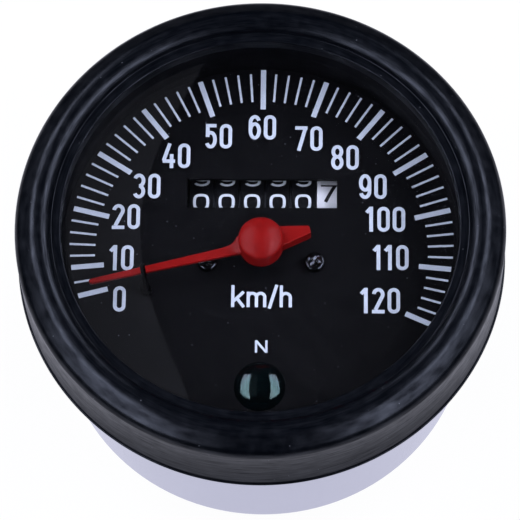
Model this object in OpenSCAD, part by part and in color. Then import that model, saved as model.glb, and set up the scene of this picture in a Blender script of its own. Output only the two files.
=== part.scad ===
// Round vintage speedometer: an eddy-current pointer movement and a six-drum odometer in a drawn can.
// Z is the instrument's axis and points out of the dial, Y points to the top of the dial, and the origin
// is on the axis, in the plane of the panel that the rubber ring rests on.
// Lengths are in millimetres and angles in degrees.

/* [Can] */
// Sheet thickness of the can
can_wall = 0.7; // [0.6:0.1:1.2]
// Depth of the can behind the panel
can_depth = 37; // [37:0.5:48]
// Height of the can's rim in front of the panel
can_rim_h = 11; // [10.5:0.5:14]
// Rounding between the can's wall and its floor
can_edge_r = 1.6; // [1:0.1:3]
// How far the seat bead stands out from the can's wall
bead_out = 1.2; // [0.6:0.1:2]
// Height of the seat bead
bead_h = 2; // [1:0.1:3]

/* [Rubber ring] */
// Outer diameter of the rubber ring
ring_d = 92; // [90:0.5:104]
// Thickness of the ring round the can, which sets the can's diameter
ring_wall = 6; // [5:0.1:7]
// Height of the rubber ring in front of the panel
ring_h = 17.5; // [16.5:0.5:20]
// Rounding of the ring's outer shoulder
shoulder_r = 5; // [3:0.5:5.5]
// Rounding of the ring's back edge
ring_edge_r = 0.8; // [0.3:0.1:1.5]
// How far the ring's inner lip reaches over the glass
lip_over = 3; // [2:0.1:5]
// Thickness of the lip at its opening
lip_t = 2.3; // [1.5:0.1:2.5]
// Width of the flat crest on top of the ring
crest_w = 1.2; // [0.5:0.1:1.4]
// Height of the small step between the crest and the lip
crest_step = 0.5; // [0.2:0.1:0.8]

/* [Glass and spacer] */
// Thickness of the glass
glass_t = 2; // [1.5:0.1:2.5]
// Rise of the glass's dome
glass_rise = 1.4; // [0.5:0.1:2]
// Wall of the spacer ring between the dial and the glass
spacer_wall = 1.2; // [1:0.1:2.2]

/* [Dial] */
// Height of the dial's face in front of the panel
dial_face_z = 0.5; // [0:0.1:1]
// Thickness of the dial plate
dial_t = 0.8; // [0.5:0.1:1]
// Diameter of the spindle's hole in the dial
dial_hole_d = 4; // [3:0.1:5]
// Width of the odometer window
window_w = 28.4; // [27:0.1:30]
// Height of the odometer window
window_h = 5.9; // [5:0.1:7]
// Height of the window's middle above the dial's centre
window_y = 12; // [11.5:0.1:12.5]
// Distance of each dial screw from the middle
screw_x = 10.1; // [9:0.1:12]
// Distance of the dial screws below the dial's centre
screw_drop = 2.2; // [1:0.1:4]
// Thread diameter of the small screws
small_screw_d = 2; // [1.6:0.1:2.4]
// Head diameter of the small screws
small_head_d = 3.8; // [3.4:0.1:4.4]
// Head height of the small screws
small_head_h = 1.2; // [0.8:0.1:1.6]

/* [Pointer] */
// Length of the pointer from the axis to its tip
pointer_len = 33; // [28:0.5:34]
// Length of the pointer's tail from the axis
tail_len = 9.5; // [7:0.1:12]
// Width of the blade at its tip
tip_w = 1; // [0.8:0.1:1.6]
// Width of the blade where its flare to the hub begins
blade_w = 1.9; // [1.4:0.1:2.4]
// Width of the blade's flare at the axis
flare_w = 5; // [2.6:0.1:6]
// Distance from the axis to where the flare ends
flare_len = 7; // [6:0.5:16]
// Width of the tail at its end
tail_w = 1.6; // [1.4:0.1:2.6]
// Width of the tail at the axis
tail_root_w = 5.8; // [3:0.1:6]
// Height of the tail
tail_h = 2.8; // [2:0.1:3]
// Thickness of the blade
blade_t = 0.9; // [0.6:0.1:1.2]
// Height of the pointer's underside above the dial's face
pointer_lift = 3.3; // [3:0.1:4]
// Diameter of the pointer's hub
hub_d = 8.4; // [7:0.1:10]
// Height of the pointer's hub
hub_h = 5.4; // [4.5:0.1:6]
// Height of the hub's domed part
hub_dome = 2.2; // [1:0.1:3]
// Angle of the pointer at rest, from the X axis
pointer_rest = 193.6; // [188:0.1:196]
// Distance of the stop pin from the dial's centre
stop_r = 22.9; // [18:0.1:26]
// Diameter of the stop pin
stop_d = 1; // [0.8:0.1:1.4]
// Height of the stop pin above the dial's face
stop_h = 7.1; // [5:0.1:8]
// Lean of the stop pin towards the pointer
stop_lean = 20; // [0:1:24]
// Diameter of the stop pin's foot
stop_foot_d = 2.2; // [2:0.1:3.4]

/* [Neutral lamp] */
// Distance of the lens below the dial's centre
lens_drop = 26.9; // [25:0.1:28]
// Diameter of the lens
lens_d = 9.6; // [8:0.1:10.4]
// Height of the lens's dome above the dial's face
lens_dome = 1.7; // [1:0.1:2.4]
// Wall of the lamp tube
tube_wall = 0.8; // [0.6:0.1:1]
// Distance of the dial lamp to the left of the middle
dial_lamp_x = 25.5; // [24:0.1:26]
// Distance of the dial lamp above the middle
dial_lamp_y = 4; // [2:0.1:6]
// Outer diameter of a bulb holder's sleeve
holder_d = 10.8; // [10:0.1:11]
// Wall of a bulb holder's sleeve
holder_wall = 0.8; // [0.6:0.1:1]

/* [Odometer] */
// Diameter of the number drums
drum_d = 17; // [16:0.1:17]
// Width of a number drum
drum_w = 4.4; // [4:0.1:4.5]
// Distance from drum to drum
drum_pitch = 4.86; // [4.8:0.02:5]
// Wall of a drum's rim and web
drum_wall = 1; // [0.7:0.1:1.4]
// Gap between the dial's underside and the drums
drum_gap = 1.7; // [1.5:0.1:2.5]
// Height of the drums' axle above the dial's centre
drum_y = 11.5; // [11.5:0.1:12]
// Distance of the row of drums to the right of the middle
drum_x = 0.5; // [0:0.1:0.8]
// Diameter of the drums' axle
axle_d = 3; // [2.6:0.1:3.4]
// Thickness of a carrier plate
carrier_t = 0.25; // [0.2:0.01:0.3]
// Thickness of the odometer's cheeks
cheek_t = 1; // [0.8:0.1:1.4]

/* [Gear train] */
// Module of the worm gearing
worm_module = 0.3; // [0.28:0.01:0.32]
// Teeth of the first worm wheel
worm_wheel_teeth = 25; // [22:1:26]
// Teeth of the second worm wheel
lay_wheel_teeth = 40; // [38:1:40]
// Pitch radius of both worms
worm_pitch_r = 1.75; // [1.7:0.05:1.9]
// Threaded length of both worms
worm_len = 5; // [4:0.2:5.6]
// Teeth of each gear of the spur pair
spur_teeth = 31; // [28:1:34]
// Face width of the toothed wheels
wheel_w = 1.4; // [1.2:0.1:1.6]
// Height of the lay shaft's middle above the dial's centre
lay_y = 22.5; // [22.5:0.1:24]
// Height of the cross shaft above the base plate
cross_h = 4.9; // [4.9:0.1:6]
// Diameter of the cross shaft
cross_d = 1.6; // [1.4:0.1:1.8]
// Diameter of the lay shaft
lay_d = 2; // [1.6:0.1:2.4]

/* [Drive and movement] */
// Thread diameter of the cable nipple
nipple_d = 12; // [12:0.5:16]
// Length of the nipple's thread
nipple_len = 10; // [8:0.5:14]
// Width across the flats of the nipple's hexagon
nipple_hex = 17; // [17:0.5:22]
// Thickness of the nipple's hexagon
nipple_hex_h = 3; // [2:0.5:5]
// Bore of the nipple for the cable's end
cable_bore_d = 7.2; // [6:0.1:8]
// Diameter of the drive shaft in its bearing
journal_d = 3.5; // [3:0.1:4]
// Diameter of the drive shaft at the worm and the magnet
shaft_d = 2; // [1.8:0.1:2.2]
// Width of the square socket in the drive shaft
socket_w = 2.1; // [1.9:0.1:2.6]
// Diameter of the magnet
magnet_d = 19; // [16:0.5:19]
// Thickness of the magnet
magnet_t = 2.8; // [2:0.1:3]
// Air gap between the magnet and the speed cup
air_gap = 0.7; // [0.4:0.1:0.8]
// Sheet thickness of the speed cup
cup_t = 0.6; // [0.4:0.1:0.7]
// Diameter of the pointer's spindle
spindle_d = 1.2; // [1:0.1:1.4]
// Diameter of the spindle's lower pivot
pivot_d = 0.8; // [0.6:0.1:0.9]
// Turns of the hairspring
hairspring_turns = 3.5; // [2.5:0.5:4]
// Outer radius of the hairspring
hairspring_r = 5.6; // [5:0.1:5.8]
// Thickness of the hairspring's strip
strip_t = 0.15; // [0.1:0.01:0.2]
// Height of the hairspring's strip
strip_h = 0.6; // [0.4:0.1:0.8]

/* [Frame and fastenings] */
// Diameter of the base plate
base_d = 68; // [66:0.5:70]
// Thickness of the base plate
base_t = 2.4; // [2:0.1:2.4]
// Thickness of the bridge
bridge_t = 1.5; // [1:0.1:1.6]
// Drop from the dial's underside to the bridge
bridge_drop = 4.2; // [4:0.1:4.6]
// Diameter of a pillar
pillar_d = 5; // [4:0.1:5.5]
// Distance of each side pillar from the middle
pillar_x = 22; // [20:0.5:23]
// Distance of the side pillars below the middle
pillar_drop = 9; // [8:0.5:10]
// Distance of the lower pillar below the middle
low_pillar_drop = 15.5; // [15.5:0.1:16]
// Distance between the mounting studs
stud_spacing = 42; // [40:0.5:44]
// Distance of the mounting studs below the middle
stud_drop = 19; // [18:0.5:20]
// Thread diameter of the mounting studs
stud_d = 5; // [4:0.5:6]
// Length of the mounting studs behind the can
stud_len = 15; // [10:0.5:20]
// Distance of each case screw from the middle
case_screw_x = 14; // [12:0.5:16]
// Distance of the case screws above the middle
case_screw_y = 26; // [24:0.5:27]
// Thread diameter of the case screws
case_screw_d = 3; // [2.5:0.1:3.5]

/* [Fits] */
// Radial clearance of a running fit
running = 0.05; // [0.02:0.01:0.08]
// Radial clearance of pieces fixed to each other
snug = 0.02; // [0.01:0.01:0.04]
// Radial clearance of a loose part in the can
loose = 0.2; // [0.1:0.05:0.3]
// Axial clearance beside a turning part
side_gap = 0.4; // [0.2:0.05:0.5]

/* [Hidden] */
$fn = 96;
EPS = 0.01;
THROUGH = 2 * ring_d;
FLANK = 20;
DRUMS = 6;
HEX = 6;
UP = 360 / 4;
ARC_STEPS = 12;
DOME_STEPS = 12;
DOME_POWER = 4;
SHOULDER_STEPS = 20;
THREAD_STEPS = 16;
SPIRAL_STEPS = 24;
ADDENDUM = 0.8;
DEDENDUM = 1.15;

ring_r = ring_d / 2;
can_r = ring_r - ring_wall;
can_in_r = can_r - can_wall;
can_floor_z = -can_depth;
floor_top_z = can_floor_z + can_wall;
bead_r = can_r + bead_out;

glass_r = can_r - loose;
glass_top_z = can_rim_h + glass_t;
lip_r = glass_r - lip_over;
lip_top_z = glass_top_z + lip_t;
spacer_in_r = can_in_r - loose - spacer_wall;
dial_r = can_in_r - loose;
dial_under_z = dial_face_z - dial_t;

drum_r = drum_d / 2;
drum_z = dial_under_z - drum_gap - drum_r;
row_left_x = drum_x - DRUMS / 2 * drum_pitch + (drum_pitch - drum_w) / 2;
row_right_x = drum_x + DRUMS / 2 * drum_pitch - (drum_pitch - drum_w) / 2;
drum_gear_x = row_right_x + wheel_w / 2;
left_cheek_x = row_left_x - side_gap - cheek_t;
right_cheek_x = row_right_x + wheel_w + side_gap;
axle_r = axle_d / 2;
bar_gap = 1.5;
bar_y = drum_y + drum_r + bar_gap;
bar_w = 1.6;
carrier_inset = 0.3;
arm_w = 4;

base_top_z = floor_top_z + base_t;
base_r = base_d / 2;
worm_lead = PI * worm_module;
tooth_up = ADDENDUM * worm_module;
tooth_down = DEDENDUM * worm_module;
tooth_share = 0.42;
thread_play = 0.05;
thread_sink = 0.1;
thread_end = 1;
worm_tip_r = worm_pitch_r + tooth_up;
worm_root_r = worm_pitch_r - tooth_down;
worm_wheel_r = worm_module * worm_wheel_teeth / 2;
lay_wheel_r = worm_module * lay_wheel_teeth / 2;
cross_x = worm_wheel_r + worm_pitch_r;
cross_z = base_top_z + cross_h;
cross_r = cross_d / 2;
lay_z = cross_z + lay_wheel_r + worm_pitch_r;
lay_r = lay_d / 2;
spur_span = norm([lay_y - drum_y, lay_z - drum_z]);
spur_angle = atan2(drum_z - lay_z, drum_y - lay_y);
spur_r = spur_span / 2;
spur_module = spur_span / spur_teeth;
ear_gap = 2;
cross_front_y = -worm_wheel_r - ear_gap;
cross_back_y = lay_y + worm_len;
ear_t = 1;
ear_w = 2 * (worm_tip_r + loose);
strip_base_t = 0.6;
post_x = cross_x - worm_tip_r - side_gap - cheek_t;
post_w = 6;

magnet_z = cross_z + worm_wheel_r + tooth_up + side_gap;
magnet_r = magnet_d / 2;
cup_r = magnet_r + air_gap + cup_t;
cup_under_z = magnet_z + magnet_t + air_gap;
cup_top_z = cup_under_z + cup_t;
shaft_r = shaft_d / 2;
shaft_top_z = magnet_z + magnet_t;
journal_r = journal_d / 2;
nipple_r = nipple_d / 2;
nipple_hex_z = can_floor_z - nipple_hex_h;
nipple_end_z = nipple_hex_z - nipple_len;
nipple_chamfer = 0.8;
shank_wall = 0.6;
shank_r = cable_bore_d / 2 + shank_wall;
bearing_drop = 2.5;
bearing_z = can_floor_z - bearing_drop;
socket_wall = 1;
socket_r = socket_w / sqrt(2) + socket_wall;
socket_len = 5;
spindle_r = spindle_d / 2;
pivot_r = pivot_d / 2;
pivot_len = 1.5;
pivot_hole_len = 2;
cup_boss_wall = 1;
cup_boss_h = 1;
magnet_collar_wall = 1;

pointer_z = dial_face_z + pointer_lift;
hub_r = hub_d / 2;
hub_foot = 0.9;
hub_chamfer = 0.6;
hub_bore_h = 3;
blade_at_stop_w = blade_w + (tip_w - blade_w) * (stop_r - flare_len) / (pointer_len - flare_len);
stop_foot_h = 0.8;
stop_bend_z = dial_face_z + stop_foot_h;
stop_back = (pointer_z + blade_t - stop_bend_z) * tan(stop_lean) + stop_d / 2 / cos(stop_lean);
stop_angle = pointer_rest + asin((blade_at_stop_w / 2 + loose + stop_back) / stop_r);

bridge_top_z = dial_under_z - bridge_drop;
bridge_under_z = bridge_top_z - bridge_t;
bridge_arm_w = 5;
bridge_pad = 0.6;
boss_wall = 0.4;
boss_r = small_head_d / 2 + boss_wall;
bush_wall = 1;
bush_r = spindle_r + bush_wall;
bush_flange_w = 0.8;
bush_flange_r = bush_r + bush_flange_w;
bush_flange_t = 0.5;
PILLARS = [[pillar_x, -pillar_drop], [-pillar_x, -pillar_drop], [0, -low_pillar_drop]];
BOSSES = [[screw_x, -screw_drop], [-screw_x, -screw_drop]];
pillar_r = pillar_d / 2;
small_hole_r = small_screw_d / 2 + snug;
screw_reach = 3;
screw_bite = 1.8;
screw_room = 1;

hairspring_gap = 0.8;
hairspring_z = bridge_top_z + bush_flange_t + hairspring_gap;
collet_wall = 0.8;
collet_r = spindle_r + collet_wall;
collet_h = 1.2;
stud_block = 1.2;

lens_r = lens_d / 2;
lens_flange_t = 0.8;
holder_r = holder_d / 2;
holder_flange_w = 1.6;
holder_flange_r = holder_r + holder_flange_w;
holder_flange_t = 1.5;
holder_h = 8;
tube_in_r = holder_r + loose;
tube_r = tube_in_r + tube_wall;
lens_flange_w = 0.6;
lens_flange_r = tube_in_r + lens_flange_w;
bulb_base_r = holder_r - holder_wall - snug;
bulb_base_h = 7;
bulb_len = 14;
bulb_neck = 0.4;
terminal_w = 6.3;
terminal_t = 0.8;
terminal_len = 8;
LAMPS = [[0, -lens_drop], [-dial_lamp_x, dial_lamp_y]];

foot_l = 5;
cheek_front = 3;
cheek_back = 9;
cheek_edge = 2.5;
cheek_neck = 5;
cheek_foot_y0 = drum_y - cheek_front;
cheek_foot_y1 = drum_y + cheek_back;
cheek_foot_y = (cheek_foot_y0 + cheek_foot_y1) / 2;
cheek_top_z = drum_z + axle_r + cheek_edge;
CHEEK_SCREWS = [[left_cheek_x - (foot_l - cheek_t) / 2, cheek_foot_y],
    [right_cheek_x + (foot_l + cheek_t) / 2, cheek_foot_y]];
STUDS = [[stud_spacing / 2, -stud_drop], [-stud_spacing / 2, -stud_drop]];
stud_r = stud_d / 2;
stud_shoulder = 0.5;
stud_neck_r = stud_r + stud_shoulder;
stud_head_w = 0.9;
stud_head_r = stud_neck_r + stud_head_w;
stud_head_h = 1.5;
CASE_SCREWS = [[case_screw_x, case_screw_y], [-case_screw_x, case_screw_y]];
case_screw_r = case_screw_d / 2;
case_head_w = 1.3;
case_head_r = case_screw_r + case_head_w;
case_head_h = 1.8;
hole_wall = 0.6;

SOLO_NODES = ["can", "rubber_ring", "glass", "spacer_ring", "dial", "dial_screws", "stop_pin",
    "pointer", "pointer_spindle", "speed_cup", "spring_collet", "hairspring", "spring_stud",
    "lamp_lens", "lamp_tube", "bulbs", "bulb_holders", "base_plate", "pillars", "bridge",
    "bridge_screws", "spindle_bush", "drive_nipple", "drive_shaft", "drive_worm", "magnet",
    "worm_wheel", "cross_shaft", "cross_worm", "cross_bracket", "lay_wheel", "lay_shaft",
    "lay_gear", "lay_post", "drum_gear", "drum_axle", "left_cheek", "right_cheek", "cheek_screws",
    "carrier_plates", "carrier_bar", "mount_studs", "case_screws"];

// Points of an arc about a centre, from angle a0 to angle a1
function arc(c, r, a0, a1, steps = ARC_STEPS) =
    [for (i = [0:steps]) c + r * [cos(a0 + (a1 - a0) * i / steps), sin(a0 + (a1 - a0) * i / steps)]];

// Half outline of the glass's dome over a flat seat: nearly flat in the middle and steeper at the edge
function dome_points(seat_z) =
    [for (i = [0:DOME_STEPS]) let (t = i / DOME_STEPS)
        [lip_r * t, seat_z + glass_rise * (1 - pow(t, DOME_POWER))]];

// Outline of a gear with straight-flanked teeth, the first tooth on the X axis
function gear_points(teeth, pitch_r, up, down, share) =
    let (step = 360 / teeth, half = share * step / 2, per = 180 / PI * tan(FLANK) / pitch_r)
    [for (i = [0:teeth - 1], k = [[-1, -down], [-1, up], [1, up], [1, -down]])
        let (a = i * step + k[0] * (half - k[1] * per))
        (pitch_r + k[1]) * [cos(a), sin(a)]];

// Rings of a thread wound round Z: four corners at each of the steps, hand is 1 for right and -1 for left
function thread_rings(r0, r1, root_w, tip_w, lead, turns, steps, hand) =
    [for (i = [0:turns * steps]) let (a = 360 * i / steps, z = lead * (i / steps - turns / 2))
        for (k = [[r0, -root_w / 2], [r1, -tip_w / 2], [r1, tip_w / 2], [r0, root_w / 2]])
            [k[0] * cos(hand * a), k[0] * sin(hand * a), z + k[1]]];

module tube(outer, inner, z0, z1) {
    translate([0, 0, z0]) difference() {
        cylinder(r = outer, h = z1 - z0);
        translate([0, 0, -EPS]) cylinder(r = inner, h = z1 - z0 + 2 * EPS);
    }
}

module rod(r, z0, z1) {
    translate([0, 0, z0]) cylinder(r = r, h = z1 - z0);
}

module rod_x(r, x0, x1) {
    translate([x0, 0, 0]) rotate([0, 90, 0]) cylinder(r = r, h = x1 - x0);
}

module rod_y(r, y0, y1) {
    translate([0, y0, 0]) rotate([-90, 0, 0]) cylinder(r = r, h = y1 - y0);
}

module at_each(points) {
    for (p = points) translate([p[0], p[1], 0]) children();
}

// Flat bar between two points
module bar(p, q, w) {
    translate(p) rotate(atan2(q[1] - p[1], q[0] - p[0])) translate([0, -w / 2]) square([norm(q - p), w]);
}

// Toothed wheel about Z with a bore
module toothed_wheel(teeth, pitch_r, up, down, share, bore_r) {
    translate([0, 0, -wheel_w / 2]) linear_extrude(wheel_w) difference() {
        polygon(gear_points(teeth, pitch_r, up, down, share));
        circle(r = bore_r);
    }
}

// Worm about Z with a bore: one thread in helical turns round a plain core
module worm(bore_r, hand) {
    turns = 2 * round((worm_len - thread_end) / worm_lead / 2);
    pitch_w = tooth_share * worm_lead - thread_play;
    root_w = pitch_w + 2 * (tooth_down + thread_sink) * tan(FLANK);
    tip_w = pitch_w - 2 * tooth_up * tan(FLANK);
    sunk_r = worm_root_r - thread_sink;
    points = thread_rings(sunk_r, worm_tip_r, root_w, tip_w, worm_lead, turns, THREAD_STEPS, hand);
    rings = len(points) / 4;
    sides = [for (i = [0:rings - 2], k = [0:3]) let (a = 4 * i + k, b = 4 * i + (k + 1) % 4)
        each [[a, b, b + 4], [a, b + 4, a + 4]]];
    last = 4 * (rings - 1);
    caps = [[0, 2, 1], [0, 3, 2], [last, last + 1, last + 2], [last, last + 2, last + 3]];
    faces = concat(sides, caps);
    difference() {
        union() {
            rod(worm_root_r, -worm_len / 2, worm_len / 2);
            // a left-hand sweep turns the faces inside out, so they are listed the other way
            polyhedron(points, hand > 0 ? faces : [for (f = faces) [f[2], f[1], f[0]]]);
        }
        rod(bore_r, -THROUGH, THROUGH);
    }
}

// Small pan-head screw, head seat at the origin, reaching down
module small_screw(reach) {
    rod(small_screw_d / 2, -reach, 0);
    rotate_extrude() polygon(concat([[0, 0], [small_head_d / 2, 0]],
        arc([small_head_d / 2 - small_head_h / 2, small_head_h / 2], small_head_h / 2, 0, UP),
        [[0, small_head_h]]));
}

module can() {
    color("gainsboro") difference() {
        union() {
            rotate_extrude() polygon(concat(
                [[0, can_floor_z]],
                arc([can_r - can_edge_r, can_floor_z + can_edge_r], can_edge_r, -UP, 0),
                [[can_r, can_rim_h], [can_in_r, can_rim_h], [can_in_r, floor_top_z], [0, floor_top_z]]));
            tube(bead_r, can_r - can_wall / 2, 0, bead_h);
        }
        rod(shank_r + snug, -THROUGH, 0);
        at_each(STUDS) rod(stud_neck_r + snug, -THROUGH, 0);
        at_each(LAMPS) rod(holder_r + snug, -THROUGH, 0);
        at_each(CASE_SCREWS) rod(case_screw_r + snug, -THROUGH, 0);
    }
}

module rubber_ring() {
    shoulder = [ring_r - shoulder_r, ring_h - shoulder_r];
    crest_r = shoulder[0] - crest_w;
    color("#16181b") rotate_extrude() polygon(concat(
        arc([ring_r - ring_edge_r, ring_edge_r], ring_edge_r, -UP, 0),
        arc(shoulder, shoulder_r, 0, UP, SHOULDER_STEPS),
        [[crest_r, ring_h], [crest_r - crest_step / 2, ring_h - crest_step], [lip_r, lip_top_z],
            [lip_r, glass_top_z + snug], [can_r + snug, glass_top_z + snug], [can_r + snug, bead_h + snug],
            [bead_r + snug, bead_h + snug], [bead_r + snug, 0]]));
}

module glass() {
    color("white", 0.25) rotate_extrude() polygon(concat(
        dome_points(can_rim_h),
        [[glass_r, can_rim_h], [glass_r, glass_top_z]],
        [for (i = [DOME_STEPS:-1:0]) dome_points(glass_top_z)[i]]));
}

module spacer_ring() {
    color("#1b1c20") tube(can_in_r - loose, spacer_in_r, dial_face_z, can_rim_h);
}

module dial() {
    color("#141416") difference() {
        rod(dial_r, dial_under_z, dial_face_z);
        rod(dial_hole_d / 2, -THROUGH, THROUGH);
        translate([-window_w / 2, window_y - window_h / 2, -THROUGH])
            cube([window_w, window_h, 2 * THROUGH]);
        translate([0, -lens_drop, 0]) rod(lens_r + snug, -THROUGH, THROUGH);
        at_each(BOSSES) rod(small_hole_r, -THROUGH, THROUGH);
        rotate(stop_angle) translate([stop_r, 0, 0]) rod(stop_d / 2 + snug, -THROUGH, THROUGH);
    }
}

module dial_screws() {
    color("#26272b") translate([0, 0, dial_face_z]) at_each(BOSSES) small_screw(screw_reach);
}

// Wire pin that is bent above its foot, so that the pointer comes to rest against its side
module stop_pin() {
    bent_len = (stop_h - stop_foot_h) / cos(stop_lean);
    color("#101012") rotate(stop_angle) translate([stop_r, 0, 0]) {
        rod(stop_d / 2, dial_under_z, dial_face_z + stop_foot_h / 2);
        rod(stop_foot_d / 2, dial_face_z, stop_bend_z);
        translate([0, 0, stop_bend_z]) rotate([stop_lean, 0, 0]) rod(stop_d / 2, -stop_d / 2, bent_len);
    }
}

module pointer() {
    dome_r = (pow(hub_r, 2) + pow(hub_dome, 2)) / (2 * hub_dome);
    dome_half = asin(hub_r / dome_r);
    color("#c8202a") difference() {
        union() {
            translate([0, 0, pointer_z]) rotate(pointer_rest) {
                linear_extrude(blade_t) polygon([[0, -flare_w / 2], [flare_len, -blade_w / 2],
                    [pointer_len - tip_w / 2, -tip_w / 2], [pointer_len, 0],
                    [pointer_len - tip_w / 2, tip_w / 2], [flare_len, blade_w / 2], [0, flare_w / 2]]);
                linear_extrude(tail_h) polygon([[0, -tail_root_w / 2], [-tail_len, -tail_w / 2],
                    [-tail_len, tail_w / 2], [0, tail_root_w / 2]]);
            }
            translate([0, 0, pointer_z]) rotate_extrude() polygon(concat(
                [[0, -hub_foot], [hub_r - hub_chamfer, -hub_foot], [hub_r, hub_chamfer - hub_foot]],
                arc([0, hub_h - dome_r], dome_r, UP - dome_half, UP)));
        }
        rod(spindle_r + snug, -THROUGH, pointer_z + hub_bore_h);
    }
}

module pointer_spindle() {
    color("silver") {
        rod(spindle_r, shaft_top_z + loose, pointer_z + hub_bore_h - snug);
        rod(pivot_r, shaft_top_z - pivot_len, shaft_top_z + loose);
    }
}

module speed_cup() {
    color("lightgray") difference() {
        union() {
            tube(cup_r, cup_r - cup_t, magnet_z + cup_t, cup_under_z + EPS);
            rod(cup_r, cup_under_z, cup_top_z);
            rod(spindle_r + cup_boss_wall, cup_under_z, cup_top_z + cup_boss_h);
        }
        rod(spindle_r + snug, -THROUGH, THROUGH);
    }
}

module spring_collet() {
    color("goldenrod") tube(collet_r, spindle_r + snug, hairspring_z - (collet_h - strip_h) / 2,
        hairspring_z + (collet_h + strip_h) / 2);
}

// Flat spiral from the collet out to the stud, drawn from its two edges
module hairspring() {
    steps = round(hairspring_turns * SPIRAL_STEPS);
    start_r = collet_r + snug + strip_t / 2;
    function at(i, side) = let (a = -360 * hairspring_turns * (1 - i / steps) + 180,
        r = start_r + (hairspring_r - start_r) * i / steps + side * strip_t / 2) [r * cos(a), r * sin(a)];
    color("#c08a3a") translate([0, 0, hairspring_z]) linear_extrude(strip_h)
        polygon(concat([for (i = [0:steps]) at(i, 1)], [for (i = [steps:-1:0]) at(i, -1)]));
}

module spring_stud() {
    block_x = -hairspring_r - strip_t / 2 - snug - stud_block;
    color("silver") translate([block_x, -stud_block / 2, bridge_top_z])
        cube([stud_block, stud_block, hairspring_z + strip_h - bridge_top_z]);
}

module lamp_lens() {
    dome_r = (pow(lens_r, 2) + pow(lens_dome, 2)) / (2 * lens_dome);
    dome_half = asin(lens_r / dome_r);
    color("#0c2a2c") translate([0, -lens_drop, 0]) rotate_extrude() polygon(concat(
        [[0, dial_under_z - lens_flange_t], [lens_flange_r, dial_under_z - lens_flange_t],
            [lens_flange_r, dial_under_z], [lens_r, dial_under_z]],
        arc([0, dial_face_z + lens_dome - dome_r], dome_r, UP - dome_half, UP)));
}

module lamp_tube() {
    color("whitesmoke") translate([0, -lens_drop, 0])
        tube(tube_r, tube_in_r, floor_top_z, dial_under_z - lens_flange_t);
}

module bulbs() {
    bulb_r = bulb_base_r - bulb_neck;
    cap_z = floor_top_z + bulb_base_h;
    color("lightyellow") at_each(LAMPS) {
        rod(bulb_base_r, floor_top_z, cap_z);
        rotate_extrude() polygon(concat([[0, cap_z], [bulb_r, cap_z]],
            arc([0, floor_top_z + bulb_len - bulb_base_r], bulb_r, 0, UP)));
    }
}

module bulb_holders() {
    color("#222326") at_each(LAMPS) {
        tube(holder_r, holder_r - holder_wall, can_floor_z, floor_top_z + holder_h);
        rod(holder_r - holder_wall / 2, can_floor_z - holder_flange_t / 2, floor_top_z - snug);
        rod(holder_flange_r, can_floor_z - holder_flange_t, can_floor_z);
        translate([-terminal_w / 2, -terminal_t / 2, can_floor_z - holder_flange_t - terminal_len])
            cube([terminal_w, terminal_t, terminal_len]);
    }
}

module base_plate() {
    color("darkgray") difference() {
        union() {
            rod(base_r, floor_top_z, base_top_z);
            // each hole keeps a wall of its own where the plate is made smaller
            translate([0, -lens_drop, 0]) rod(tube_r + snug + hole_wall, floor_top_z, base_top_z);
            translate([-dial_lamp_x, dial_lamp_y, 0])
                rod(holder_r + loose + hole_wall, floor_top_z, base_top_z);
            at_each(STUDS) rod(stud_head_r, floor_top_z, base_top_z);
            at_each(CASE_SCREWS) rod(case_head_r, floor_top_z, base_top_z);
        }
        rod(shank_r + snug, -THROUGH, 0);
        translate([0, -lens_drop, 0]) rod(tube_r + snug, -THROUGH, 0);
        translate([-dial_lamp_x, dial_lamp_y, 0]) rod(holder_r + loose, -THROUGH, 0);
        at_each(STUDS) rod(stud_neck_r + snug, -THROUGH, 0);
        at_each(CASE_SCREWS) rod(case_screw_r + snug, -THROUGH, 0);
        at_each(CHEEK_SCREWS) rod(small_hole_r, base_top_z - screw_bite - snug, 0);
    }
}

module pillars() {
    color("silver") at_each(PILLARS) difference() {
        rod(pillar_r, base_top_z, bridge_under_z);
        rod(small_hole_r, bridge_under_z - screw_reach - screw_room, THROUGH);
    }
}

module bridge() {
    color("lightsteelblue") difference() {
        union() {
            translate([0, 0, bridge_under_z]) linear_extrude(bridge_t) {
                for (p = concat(PILLARS, BOSSES)) {
                    bar([0, 0], p, bridge_arm_w);
                    translate(p) circle(r = bridge_arm_w / 2 + bridge_pad);
                }
                bar(PILLARS[0], PILLARS[2], bridge_arm_w);
                bar(PILLARS[1], PILLARS[2], bridge_arm_w);
                circle(r = bush_flange_r);
            }
            at_each(BOSSES) rod(boss_r, bridge_under_z, dial_under_z);
        }
        rod(bush_r + snug, -THROUGH, THROUGH);
        at_each(PILLARS) rod(small_hole_r, -THROUGH, THROUGH);
        at_each(BOSSES) rod(small_hole_r, -THROUGH, THROUGH);
    }
}

module bridge_screws() {
    color("silver") translate([0, 0, bridge_top_z]) at_each(PILLARS) small_screw(bridge_t + screw_reach);
}

module spindle_bush() {
    color("goldenrod") difference() {
        union() {
            rod(bush_r, bridge_under_z, bridge_top_z);
            rod(bush_flange_r, bridge_top_z, bridge_top_z + bush_flange_t);
        }
        rod(spindle_r + running, -THROUGH, THROUGH);
    }
}

module drive_nipple() {
    color("goldenrod") difference() {
        union() {
            rod(shank_r, can_floor_z - EPS, base_top_z);
            translate([0, 0, nipple_hex_z])
                cylinder(d = nipple_hex / cos(180 / HEX), h = nipple_hex_h, $fn = HEX);
            rod(nipple_r, nipple_end_z + nipple_chamfer, nipple_hex_z + EPS);
            translate([0, 0, nipple_end_z])
                cylinder(r1 = nipple_r - nipple_chamfer, r2 = nipple_r, h = nipple_chamfer);
        }
        rod(journal_r + running, -THROUGH, THROUGH);
        rod(cable_bore_d / 2, -THROUGH, bearing_z);
    }
}

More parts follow.
